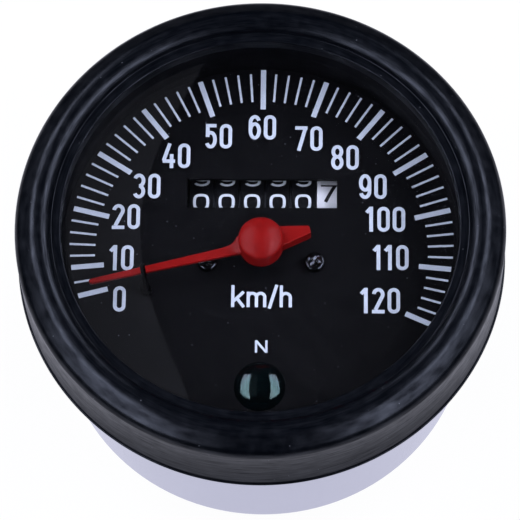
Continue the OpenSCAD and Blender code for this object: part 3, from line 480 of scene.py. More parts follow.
def strokes_of(sign, w, h, s):
    """Centre lines of a condensed sign in a box of width w and height h, for a stroke of width s. Rounds are
    half ellipses as wide as the box; straight strokes end flush with the box."""
    a = s / 2
    cx = w / 2
    r = (w - s) / 2
    full = (h - s) / 2
    top = h - a

    def ring(cy, ry, rx=r):
        return arc((cx, cy), (rx, ry), 0, 360, 41)

    if sign == "0":
        loop = np.vstack([arc((cx, top - r), (r, r), 0, 180), arc((cx, a + r), (r, r), 180, 360)])
        return [np.vstack([loop, loop[:1]])]
    if sign == "O":
        # the wide nought of a number drum: an ellipse pressed a little towards its box
        press = 0.68
        u = np.linspace(0, 2 * np.pi, 49)
        loop = np.column_stack([cx + r * squared(np.cos(u), press), h / 2 + full * squared(np.sin(u), press)])
        loop[-1] = loop[0]
        return [loop]
    if sign == "1":
        return [line((0.62 * w, 0), (0.62 * w, h)), line((0.6 * w, h - 0.3 * s), (0.08 * w, 0.76 * h))]
    if sign == "2":
        bend = arc((cx, top - 1.15 * r), (r, 1.15 * r), 175, -38, 22)
        return [np.vstack([bend, line((a + 0.12 * w, s))]), line((0, a), (w, a))]
    if sign == "3":
        q = full / 2
        return [arc((cx, top - q), (r, q), 155, -90, 24), arc((cx, a + q), (r, q), 90, -155, 24)]
    if sign == "4":
        return [line((0.56 * w, h), (0.5 * a, 0.3 * h)), line((0, 0.28 * h), (w, 0.28 * h)),
                line((0.72 * w, 0), (0.72 * w, 0.56 * h))]
    if sign == "5":
        q = 0.29 * h
        return [line((0.1 * w, top), (w - 0.3 * a, top)), line((0.1 * w + a, h), (0.1 * w + a, 0.47 * h)),
                arc((cx, a + q), (r, q), 128, -150, 26)]
    if sign == "6":
        # half heights of the bowl and of the bend over it, on the dial and on a wide number drum
        q, t = (0.285 * h, 0.24 * h) if w < 0.6 * h else (0.21 * h, 0.26 * h)
        return [ring(a + q, q), np.vstack([line((a, a + q)), arc((cx, top - t), (r, t), 180, 20, 18)])]
    if sign == "7":
        return [line((0, top), (w, top)), line((w - 0.55 * s, top), (0.3 * w, 0))]
    if sign == "8":
        q = 0.47 * full
        return [ring(top - q, q, 0.93 * r), ring(a + full - q, full - q)]
    if sign == "9":
        return [line((w, h)) - p for p in strokes_of("6", w, h, s)]
    if sign == "N":
        return [line((a, 0), (a, h)), line((w - a, 0), (w - a, h)), line((a, h - 0.2 * s), (w - a, 0.2 * s))]
    if sign == "k":
        x = 0.7 * h
        return [line((a, 0), (a, h)), line((a, 0.34 * x), (w - 0.5 * a, x)),
                line((0.42 * w, 0.58 * x), (w - 0.4 * a, 0))]
    if sign in "hm":
        x, n = 0.7 * h, 1 if sign == "h" else 2
        q = (w - s) / n / 2
        arch = [np.vstack([arc((a + q * (2 * k + 1), x - a - q), (q, q), 180, 0, 16),
                           line((a + 2 * q * (k + 1), 0))]) for k in range(n)]
        return [line((a, 0), (a, h if n == 1 else x))] + arch
    if sign == "/":
        return [line((0.25 * s, -0.06 * h), (w - 0.25 * s, 1.02 * h))]
    raise RuntimeError(f"no strokes for {sign}")


def lettering(text, centre, w, h, s, gap, widths=None):
    """Strokes of a line of signs about a centre, as flat paths in mm."""
    wide = [(widths or {}).get(c, w) for c in text]
    x = centre[0] - (sum(wide) + gap * (len(text) - 1)) / 2
    paths = []
    for c, cw in zip(text, wide):
        paths += [p + np.array([x, centre[1] - h / 2]) for p in strokes_of(c, cw, h, s)]
        x += cw + gap
    return paths


def printed(paths, width):
    """Thin raised strokes on the dial's face; each lies a layer above the last so that none coincide."""
    sheets = []
    for k, path in enumerate(paths):
        rows, closed = ribbon(path, width, FACE_Z - PRINT, FACE_Z + PRINT + LAYER * (k % LAYERS))
        sheets.append((rows, closed, True))
    return sheets


def screw_grid(r, height, recess, bars, shank, steps=96):
    """Screw about the Z axis, its seat at zero. The head's top is a flat crown rounded at its edge, less a
    recess of bars: their half width, half length, number (one for a slot, two for a cross) and the width of
    their sloping sides. The shank is a radius and a length."""
    half_w, half_l, count, slope_w = bars
    shank_r, shank_l = shank
    edge = 0.45 * height
    bend = np.linspace(0, np.pi / 2, 9)[1:]
    rr = np.concatenate([np.linspace(0, r - edge, 26), r - edge + edge * np.sin(bend)])
    zz = np.concatenate([np.full(26, height), height - edge + edge * np.cos(bend)])
    stem = [[r, 0.02], [shank_r, 0], [shank_r, -shank_l], [0, -shank_l]]
    grid = turned(np.concatenate([np.column_stack([rr, zz]), stem]), steps)
    x, y, z = grid[..., 0], grid[..., 1], grid[..., 2]

    def bar(across, along):
        sides = np.clip((half_w - np.abs(across)) / slope_w, 0, 1)
        return sides * np.clip((half_l - np.abs(along)) / slope_w, 0, 1)

    sunk = np.maximum(bar(x, y), bar(y, x) if count > 1 else 0) * recess
    grid[..., 2] = np.where(z > 0.3 * height, z - sunk, z)
    return grid


def pair(node, head_r, z):
    """Axes of a node's two like fasteners, which stand side by side along X, as points at a height."""
    low, high = millimetres(node)
    y = (low[1] + high[1]) / 2
    return [np.array([x, y, z]) for x in (low[0] + head_r, high[0] - head_r)]


def hoops(rings, steps):
    """Rows of points about the Z axis, one for each (radius, height); a radius may differ along its row."""
    a = np.linspace(0, 2 * np.pi, steps, endpoint=False)
    return np.stack([np.stack([r * np.cos(a), r * np.sin(a), np.full(steps, z)], -1) for r, z in rings])


def thread(r, z_low, z_high, pitch, depth, steps=72, per_turn=10):
    """Outer wall of a screw thread: the radius less a triangle wave in height minus the turn's share of the
    pitch, which fades over one pitch at both ends."""
    rows = max(8, int((z_high - z_low) / pitch * per_turn))
    z = np.linspace(z_low, z_high, rows)[:, None]
    a = np.linspace(0, 2 * np.pi, steps, endpoint=False)[None, :]
    wave = np.abs(((z / pitch - a / (2 * np.pi)) % 1) * 2 - 1)
    fade = np.clip(np.minimum(z - z_low, z_high - z) / pitch, 0, 1)
    radius = r - depth * wave * fade
    return np.stack([radius * np.cos(a), radius * np.sin(a), z + 0 * a], -1)


class SPEEDO_OT_finishes(bpy.types.Operator):
    """Gives every CAD node that still shows its own finish"""

    bl_idname = "speedo.finishes"
    bl_label = "Finishes"

    def execute(self, context):
        case = context.scene.speedo_case
        drums = context.scene.speedo_odometer
        # Ground and turned steel: grey, with fine marks round the work
        steel = metal_finish("ground_steel", linear("#b9bcc2"), 0.3, 0.2, (1, 1, 5))
        # Moulded natural nylon: cream and waxy
        nylon = moulded_finish("moulded_natural_nylon", linear("#e0dac4"), 0.42)
        # Turned brass inside the case: warm and untarnished
        brass = metal_finish("turned_brass_inside", case.brass, 0.3, 0.2)
        # Moulded polystyrene drums: an even satin
        black = moulded_finish("moulded_black_drum", drums.black, 0.5, specular=0.1)
        white = moulded_finish("moulded_white_drum", drums.white, 0.45, spread=0.05, specular=0.3)
        finishes = {
            # Deep-drawn steel in bright zinc: bluish, with faint marks of the draw along its axis
            "can": metal_finish("drawn_zinc_plated_steel", case.zinc, 0.14, 0.5, (1, 1, 0.06), spread=0.04,
                                bump_mm=0.0005),
            # Matt black baked enamel on sheet, with dust under the glass
            "dial": moulded_finish("matt_black_enamel", context.scene.speedo_dial.enamel, 0.5, 0.2,
                                   spread=0.25, dust=0.3, specular=0.07),
            # Phosphated steel tube: a dead black that shows only its edges
            "spacer_ring": moulded_finish("black_phosphated_tube", linear("#050507"), 0.6, 0.3, spread=0.25,
                                          specular=0.03),
            # Die-cast light alloy: dull grey with a coarse cast skin
            "base_plate": metal_finish("die_cast_light_alloy", linear("#a9abb0"), 0.5, 0.8, spread=0.2,
                                       bump_mm=0.02),
            # Spun aluminium: pale, with the rings of the spinning tool
            "speed_cup": metal_finish("spun_aluminium", linear("#cfd1d4"), 0.34, 0.25, (1, 1, 4)),
            # Sintered magnet: dark and granular
            "magnet": metal_finish("sintered_magnet", linear("#3a3a3f"), 0.6, 0.2, spread=0.3, bump_mm=0.02),
            # Moulded phenolic: black with a slight sheen
            "bulb_holders": moulded_finish("moulded_black_phenolic", linear("#18191c"), 0.45),
            # Moulded acetal: white, so that it carries the lamp's light
            "lamp_tube": moulded_finish("moulded_white_acetal", linear("#e2e1dc"), 0.45),
            # Blown glass: clear and a little warm
            "bulbs": glass_finish("blown_bulb_glass", linear("#fffbf3")),
            # Thin sheet steel between the drums, its grey darkened as painted shade of the narrow gaps
            # between them
            "carrier_plates": metal_finish("sheet_steel_painted_shade", linear("#4e5056"), 0.45, 0.2),
            "digit_drum_6": white,
        }
        finishes.update({name: nylon for name in ("worm_wheel", "lay_wheel", "lay_gear", "drum_gear")})
        finishes.update({name: brass for name in ("spring_collet", "hairspring", "spindle_bush")})
        finishes.update({f"digit_drum_{i}": black for i in range(1, 6)})
        for name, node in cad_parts.items():
            node.data.materials.clear()
            node.data.materials.append(finishes.get(name, steel))
        return {"FINISHED"}


class SPEEDO_OT_ring(bpy.types.Operator):
    """Makes the rubber ring"""

    bl_idname = "speedo.ring"
    bl_label = "Rubber ring"

    def execute(self, context):
        look = context.scene.speedo_ring
        s = sizes(look)
        # the ring stands a hair clear of the glass, the can and the can's bead
        clear = 0.02
        seat_z = float(GLASS_HIGH[2]) - s.dome + clear
        can_r, bead_r, bead_z = 40 + clear, 41.2 + clear, 2 + clear
        wall_r = s.outer_r - s.flash
        flash_w, flash_h, ledge_bend, lip_bend, inner_slope = 0.2, 0.25, 0.3, 0.25, 52
        crest = (s.crest_r, s.top_z - s.crest_bend)
        slope = math.degrees(look.flank)
        # the flank touches the crest's rounding and the shoulder's, so the shoulder's middle lies on a line
        # at the flank's slope under it
        run = wall_r - s.shoulder_r - crest[0]
        reach = s.crest_bend - s.shoulder_r
        drop = (run * math.sin(look.flank) - reach) / math.cos(look.flank)
        shoulder = (crest[0] + run, crest[1] - drop)
        # from the back edge with its flash line up the wall, over the shoulder, up the flank, over the crest
        # and down to a flat ledge round the opening; then the seats of the glass and the can
        profile = np.concatenate([
            arc((s.outer_r - flash_w, flash_h), (flash_w, flash_h), -90, 80, 9),
            [[wall_r + 0.1, 0.5], [wall_r, 0.7]],
            arc(shoulder, (s.shoulder_r, s.shoulder_r), 0, 90 - slope, 16),
            arc(crest, (s.crest_bend, s.crest_bend), 90 - slope, 90 + inner_slope, 26),
            arc((s.ledge_r, s.lip_z + ledge_bend), (ledge_bend, ledge_bend), 310, 270, 5),
            arc((s.lip_r + lip_bend, s.lip_z - lip_bend), (lip_bend, lip_bend), 90, 180, 7),
            [[s.lip_r, seat_z], [can_r, seat_z], [can_r, bead_z], [bead_r, bead_z], [bead_r, 0.0]]])
        # Black rubber, compression moulded: a soft satin sheen that is mottled and streaked by handling,
        # and dust on its skin
        rubber = moulded_finish("moulded_black_rubber", look.rubber, 0.32, 0.3, bump_mm=0.0015, dust=0.2,
                                specular=0.38, mottle=0.14, cloud_mm=2.0, tint="#e7efff",
                                edge_specular=0.15, rubbed_mm=(41, 5, 0.45))
        make_piece("ring_rubber", [(turned(profile, 240), True, True)], rubber, "case", ["rubber_ring"],
                   sharp=50)
        return {"FINISHED"}


class SPEEDO_OT_glass(bpy.types.Operator):
    """Makes the domed front glass"""

    bl_idname = "speedo.glass"
    bl_label = "Glass"

    def execute(self, context):
        s = sizes(context.scene.speedo_ring)
        seat, top_seat = float(GLASS_LOW[2]), float(GLASS_HIGH[2]) - s.dome
        edge, bevel = float(GLASS_HIGH[0]), 0.1
        r = np.linspace(0, s.lip_r, 44)
        dome = s.dome * (1 - (r / s.lip_r) ** 4)
        front = np.column_stack([r, top_seat + dome])
        back = np.column_stack([r, seat + dome])
        rim = [[edge - bevel, top_seat], [edge, top_seat - bevel], [edge, seat + bevel], [edge - bevel, seat]]
        profile = np.concatenate([front, rim, back[::-1]])
        # Clear sheet glass with a ground edge: a trace of blue
        clear = glass_finish("ground_clear_glass", linear("#fbfdff"))
        pane = make_piece("front_glass", [(turned(profile, 192), False, True)], clear, "case", ["glass"])
        pane.visible_shadow = False
        return {"FINISHED"}


class SPEEDO_OT_dial(bpy.types.Operator):
    """Prints the scale, its numerals, the unit and the neutral mark on the dial"""

    bl_idname = "speedo.dial"
    bl_label = "Printed dial"

    def execute(self, context):
        look = context.scene.speedo_dial
        s = sizes(look)
        # Silk-screened ink: a thin, dense and nearly matt white
        ink = moulded_finish("screen_printed_white", look.ink, 0.6, 0.2, bump_mm=0.002, spread=0.06,
                             specular=0.2)
        marks = [(k, 90 + (TOP_OF_SCALE - k) * DEGREES_PER_UNIT) for k in range(10, 121, 2)]
        # the scale's start is drawn together: nought and one short tick before the ten
        marks += [(0, 194.8), (5, 190.3)]
        # the printed band narrows towards the bottom, as its outer edge rises with the mark's height, less a
        # bow, up to a most; the mark at the top is longer, and the marks near it begin lower
        rise, bow, most, top_extra, top_drop = 2.5, 0.9, 1.05, 0.55, 0.3
        long_paths, short_paths = [], []
        for k, degrees in marks:
            ray = np.array([math.cos(math.radians(degrees)), math.sin(math.radians(degrees))])
            outer = s.tick_outer + min(rise * ray[1] - bow * ray[1] ** 2, most)
            outer += top_extra * (k == TOP_OF_SCALE)
            lower = top_drop * max(0.0, ray[1]) ** 4
            if k % 10 == 0:
                long_paths.append(np.array([(s.tick_long - lower) * ray, outer * ray]))
            else:
                short_paths.append(np.array([(s.tick_short - lower) * ray, (outer - lower) * ray]))
        ticks = printed(long_paths, s.tick_long_w) + printed(short_paths, s.tick_short_w)

        # middles of the numerals, which are set beside their ticks and not on one circle
        places = {
            0: (-26.5, -9.6), 10: (-26.3, -1.3), 20: (-25.7, 7.1), 30: (-21.95, 13.4), 40: (-16.4, 19.7),
            50: (-8.5, 23.8), 60: (-0.1, 25.7), 70: (8.8, 23.4), 80: (15.7, 19.5), 90: (21.0, 13.5),
            100: (23.4, 6.8), 110: (24.4, -1.0), 120: (22.4, -9.7),
        }
        gap, narrow = 0.55, {"1": 1.6}
        numerals = []
        for value, centre in places.items():
            paths = lettering(str(value), centre, s.numeral_w, s.numeral_h, s.numeral_stroke, gap, narrow)
            numerals += printed(paths, s.numeral_stroke)

        unit_stroke, neutral_stroke = 0.6, 0.43
        unit = lettering("km/h", (0.15, -8.95), w=2.3, h=4.4, s=unit_stroke, gap=0.4,
                         widths={"k": 2.5, "m": 3.7, "/": 1.7})
        neutral = lettering("N", (0.2, -19.0), w=2.35, h=2.45, s=neutral_stroke, gap=0)
        prints = {"scale_ticks": ticks, "scale_numerals": numerals, "unit_mark": printed(unit, unit_stroke),
                  "neutral_mark": printed(neutral, neutral_stroke)}
        for name, sheets in prints.items():
            make_piece(name, sheets, ink, "case", sharp=20)
        return {"FINISHED"}


class SPEEDO_OT_pointer(bpy.types.Operator):
    """Makes the red pointer with its domed hub and its tail"""

    bl_idname = "speedo.pointer"
    bl_label = "Pointer"

    def execute(self, context):
        look = context.scene.speedo_pointer
        s = sizes(look)
        # the hub stands on a foot under the blade, and blade and tail are rooted inside it
        foot, root = 0.9, 1.5
        z = float(POINTER_LOW[2]) + foot
        # the blade narrows evenly to a round tip, and flows into the hub mostly on its upper side
        tip, taper, blade_h = 0.6, 0.016, 0.9
        flow_run, flow_right, flow_left, flow_up = 0.8, 1.4, 0.25, 0.7
        x = np.concatenate([np.linspace(root, s.tip_r - tip, 60),
                            s.tip_r - tip + tip * np.sin(np.linspace(0, np.pi / 2, 8)[1:])])
        half = (s.tip_w / 2 + taper * (s.tip_r - x)) * round_end(x - s.tip_r + tip, tip)
        flow = np.exp(-np.clip(x - s.hub_r, 0, None) / flow_run)
        blade = bar_loft(x, half + flow_right * flow, half + flow_left * flow, z,
                         z + blade_h + flow_up * flow)
        # the tail is a wedge with a flat top and crisp edges
        bevel, tail_root_w, tail_end_w = 0.22, 5.8, 1.6
        x = np.concatenate([np.linspace(-root, -s.tail_r + bevel, 14),
                            -s.tail_r + bevel - bevel * np.sin(np.linspace(0, np.pi / 2, 6)[1:])])
        inset = bevel * (1 - round_end(-x - s.tail_r + bevel, bevel))
        half = (tail_root_w + (tail_end_w - tail_root_w) * -x / s.tail_r) / 2 - inset
        tail = bar_loft(x, half, half, z + inset, z + s.tail_h - inset, corner=12.0, steps=48)
        # the hub is a drum with a rounded edge under a shallow dome
        dome_h, edge, cut = 1.5, 0.6, 0.2
        crown = cap(s.hub_r, dome_h, z + s.hub_h, start=3, steps=24)
        corners = [(0, z - foot), (s.hub_r - edge, z - foot), (s.hub_r, z - foot + edge),
                   (s.hub_r, z + s.hub_h - dome_h - 0.1), tuple(crown[0])]
        # an uncut corner gives six like points: one of the first is kept, and the crown begins at the last
        wall = rounded(corners, [0.0, cut, cut, cut, 0.0], steps=6)[5:-6]
        hub = turned(np.concatenate([wall, crown]), 96)
        # Zinc casting in baked signal-red enamel: satin, with faint clouds in its gloss
        red = moulded_finish("baked_red_enamel", look.red, 0.33, 0.25, bump_mm=0.003, spread=0.12,
                             specular=0.14)
        sheets = [(grid, False, True) for grid in (spun(blade, REST_ANGLE), spun(tail, REST_ANGLE), hub)]
        make_piece("pointer_body", sheets, red, "pointer", ["pointer"])
        return {"FINISHED"}


class SPEEDO_OT_dial_screws(bpy.types.Operator):
    """Makes the two cross-head dial screws"""

    bl_idname = "speedo.dial_screws"
    bl_label = "Dial screws"

    def execute(self, context):
        # Blackened and oiled steel: it mirrors the lamps in a few bright glints and is black elsewhere
        dark = metal_finish("blackened_oiled_steel", context.scene.speedo_fittings.screws, 0.12, 0.2,
                            spread=0.4)
        head_r, head_h, recess = 1.9, 1.2, 0.3
        screw = screw_grid(head_r, head_h, recess, bars=(0.5, 1.3, 2, 0.5), shank=(1.0, 3.0))
        sheets = [(spun(screw, 25 + 40 * k) + at, False, True)
                  for k, at in enumerate(pair("dial_screws", head_r, FACE_Z))]
        make_piece("cross_head_screws", sheets, dark, "case", ["dial_screws"], sharp=40)
        return {"FINISHED"}


class SPEEDO_OT_stop_pin(bpy.types.Operator):
    """Makes the bent wire pin that the pointer rests against"""

    bl_idname = "speedo.stop_pin"
    bl_label = "Stop pin"

    def execute(self, context):
        look = context.scene.speedo_fittings
        s = sizes(look)
        low, high = millimetres("stop_pin")
        at = np.array([high[0] - s.pin_foot_r, low[1] + s.pin_foot_r])
        foot_h, foot_bend, tip_h = 0.8, 0.25, 0.3
        bend_z, tip_z = FACE_Z + foot_h, high[2] - tip_h
        profile = np.concatenate([
            [[0, low[2]], [s.pin_r, low[2]], [s.pin_r, FACE_Z - 0.02], [s.pin_foot_r, FACE_Z]],
            arc((s.pin_foot_r - foot_bend, bend_z - foot_bend), (foot_bend, foot_bend), 0, 90, 6),
            [[s.pin_r, bend_z - 0.05]],
            np.column_stack([np.full(12, s.pin_r), np.linspace(bend_z, tip_z, 12)]),
            arc((0, tip_z), (s.pin_r, tip_h), 0, 90, 8)])
        grid = turned(profile, 40)
        # above the foot each row is shifted towards the pointer in proportion to its height, which bends
        # the wire
        away = math.radians(REST_ANGLE - 90)
        shift = np.clip(grid[..., 2:] - bend_z, 0, None) * math.tan(look.pin_lean)
        grid += shift * np.array([math.cos(away), math.sin(away), 0.0]) + np.append(at, 0.0)
        # Peg in the dial's own black enamel, glossier than the plate
        peg = moulded_finish("glossy_black_enamel", linear("#010102"), 0.3, 0.3, bump_mm=0.003, specular=0.1)
        make_piece("stop_peg", [(grid, False, True)], peg, "case", ["stop_pin"])
        return {"FINISHED"}


class SPEEDO_OT_lens(bpy.types.Operator):
    """Makes the domed lens of the neutral lamp"""

    bl_idname = "speedo.lens"
    bl_label = "Lamp lens"

    def execute(self, context):
        look = context.scene.speedo_fittings
        s = sizes(look)
        under = float(DIAL_LOW[2])
        flange_r = (LENS_HIGH[0] - LENS_LOW[0]) / 2
        rise = float(LENS_HIGH[2]) - FACE_Z
        profile = np.concatenate([
            [[0, LENS_LOW[2]], [flange_r, LENS_LOW[2]], [flange_r, under], [s.lens_r, under],
             [s.lens_r, FACE_Z - 0.1]],
            cap(s.lens_r, rise, float(LENS_HIGH[2]), start=2, steps=30)])
        # Dark green moulded acrylic under a thin lacquer: nearly black from the front, with glassy lamp
        # reflections that the lacquer turns blue-green
        material, tree, place = begin("tinted_acrylic")
        cloud_mm, lacquer_nm = 3, 1025.0
        cloud = add(tree, "TexNoise", {"Vector": place, "Scale": per_mm(cloud_mm)}).outputs["Fac"]
        tone = add(tree, "ValToRGB", {"Fac": cloud})
        tone.color_ramp.elements[0].color = shade(look.lens, 0.7)
        tone.color_ramp.elements[1].color = shade(look.lens, 1.2)
        shader = add(tree, "BsdfPrincipled", {"Base Color": tone.outputs[0], "Roughness": 0.04, "IOR": 1.9,
                                              "Specular Tint": shade(linear("#efffff")),
                                              "Thin Film Thickness": lacquer_nm, "Thin Film IOR": 1.66})
        add(tree, "OutputMaterial", {"Surface": shader.outputs[0]})
        centre = (LENS_LOW + LENS_HIGH) / 2
        make_piece("lens_dome", [(turned(profile, 96, centre[:2]), False, True)], material, "case",
                   ["lamp_lens"], sharp=30)
        return {"FINISHED"}


class SPEEDO_OT_odometer(bpy.types.Operator):
    """Prints the digits round the six drums"""

    bl_idname = "speedo.odometer"
    bl_label = "Odometer digits"

    def execute(self, context):
        look = context.scene.speedo_odometer
        s = sizes(look)
        # Hot-stamped foil: dense and flat, white on the black drums and black on the white one
        light = moulded_finish("hot_stamped_white", look.digits, 0.5, 0.2, bump_mm=0.002, spread=0.06,
                               specular=0.2)
        dark = moulded_finish("hot_stamped_black", linear("#0d0d10"), 0.5, 0.2, bump_mm=0.002, spread=0.2,
                              specular=0.2)
        low_r, high_r = s.drum_r - 0.03, s.drum_r + PRINT
        for i in range(1, 7):
            tenths = i == 6
            low, high = millimetres(f"digit_drum_{i}")
            x0 = (low[0] + high[0] - s.digit_w) / 2
            axis = (low + high) / 2
            # the tenths stand between two digits, with the seven at the top of the window, and the noughts
            # stand a little low
            shown, lift = (7, 12.6) if tenths else (0, -1.9)
            tall, stroke = (s.tenths_h, s.tenths_stroke) if tenths else (s.digit_h, s.digit_stroke)
            sheets = []
            for digit in range(10):
                middle = math.radians(lift + 36 * (shown - digit))
                sign = "O" if digit == 0 else str(digit)
                for k, path in enumerate(strokes_of(sign, s.digit_w, tall, stroke)):
                    # the seven's bar is thinner than its leg
                    width = 0.6 * stroke if (digit, k) == (7, 0) else stroke
                    rows, closed = ribbon(evenly(path), width, low_r, high_r + LAYER * k)
                    turn = middle + (rows[..., 1] - tall / 2) / s.drum_r
                    sheets.append((np.stack([x0 + rows[..., 0], axis[1] + rows[..., 2] * np.sin(turn),
                                             axis[2] + rows[..., 2] * np.cos(turn)], -1), closed, True))
            make_piece(f"drum_digits_{i}", sheets, dark if tenths else light, f"drum_{i}", sharp=25)
        return {"FINISHED"}


class SPEEDO_OT_nipple(bpy.types.Operator):
    """Makes the threaded cable nipple"""

    bl_idname = "speedo.nipple"
    bl_label = "Cable nipple"

    def execute(self, context):
        look = context.scene.speedo_case
        s = sizes(look)
        low, high = millimetres("drive_nipple")
        foot, steps = low[2], 72
        thread_r, thread_deep, bevel, bore_r = 6.0, 0.5, 0.8, 3.6
        shank_r, journal_r, half_flats, corner_r, face_r = 4.2, 1.8, 8.5, 9.2, 8.2
        hex_low, seat_z = BACK_Z - 3, BACK_Z - 2.5
        a = np.linspace(0, 2 * np.pi, steps, endpoint=False)
        # half the width across the flats over the cosine of the angle from the nearest flat's middle
        flat = half_flats / np.cos(np.abs((a + np.pi / 6) % (np.pi / 3) - np.pi / 6))
        mouth = hoops([(bore_r, foot), (thread_r - bevel, foot)], steps)
        wall = thread(thread_r, foot + bevel, hex_low, s.nipple_pitch, thread_deep, steps)
        # the hexagon with its corners turned off below, the shank through the can, and the bore
        rest = hoops([(face_r, hex_low), (np.minimum(flat, corner_r), hex_low + 0.4), (flat, hex_low + 0.7),
                      (flat, BACK_Z), (shank_r, BACK_Z), (shank_r, high[2]), (journal_r, high[2]),
                      (journal_r, seat_z), (bore_r, seat_z)], steps)
        # Turned brass: warm, with the fine rings of the lathe
        brass = metal_finish("turned_brass", look.brass, 0.28, 0.15, (1, 1, 6))
        make_piece("cable_nipple", [(np.concatenate([mouth, wall, rest]), True, True)], brass, "case",
                   ["drive_nipple"], sharp=28)
        return {"FINISHED"}


class SPEEDO_OT_back_fasteners(bpy.types.Operator):
    """Makes the threaded studs and the slotted screws on the can's back"""

    bl_idname = "speedo.back_fasteners"
    bl_label = "Studs and case screws"

    def execute(self, context):
        look = context.scene.speedo_case
        s = sizes(look)
        # Bright zinc plating on turned steel
        zinc = metal_finish("zinc_plated_fasteners", look.zinc, 0.24, 0.3)
        low, high = millimetres("mount_studs")
        foot, top, steps = low[2], high[2], 40
        thread_r, thread_deep, neck_r, head_r, head_h, bevel = 2.5, 0.4, 3.0, 3.9, 1.5, 0.2
        end = hoops([(0, foot), (thread_r - thread_deep, foot)], steps)
        wall = thread(thread_r, foot + thread_deep, BACK_Z - 0.02, s.stud_pitch, thread_deep, steps, 8)
        head = hoops([(neck_r, BACK_Z), (neck_r, top - head_h), (head_r, top - head_h),
                      (head_r, top - bevel), (head_r - bevel, top), (0, top)], steps)
        stud = np.concatenate([end, wall, head])
        sheets = [(stud + at, False, True) for at in pair("mount_studs", head_r, 0)]
        make_piece("threaded_studs", sheets, zinc, "case", ["mount_studs"], sharp=28)

        # the screws are turned over, with their heads on the can's back
        head_r, head_h, recess, shank_r = 2.8, 1.8, 0.9, 1.5
        shank_l = millimetres("case_screws")[1][2] - BACK_Z
        screw = screw_grid(head_r, head_h, recess, bars=(0.45, 3.2, 1, 0.08), shank=(shank_r, shank_l))
        screw = screw * np.array([1, -1, -1])
        sheets = [(spun(screw, 20 + 55 * k) + at, False, True)
                  for k, at in enumerate(pair("case_screws", head_r, BACK_Z))]
        make_piece("slotted_case_screws", sheets, zinc, "case", ["case_screws"],
                   sharp=40)
        return {"FINISHED"}


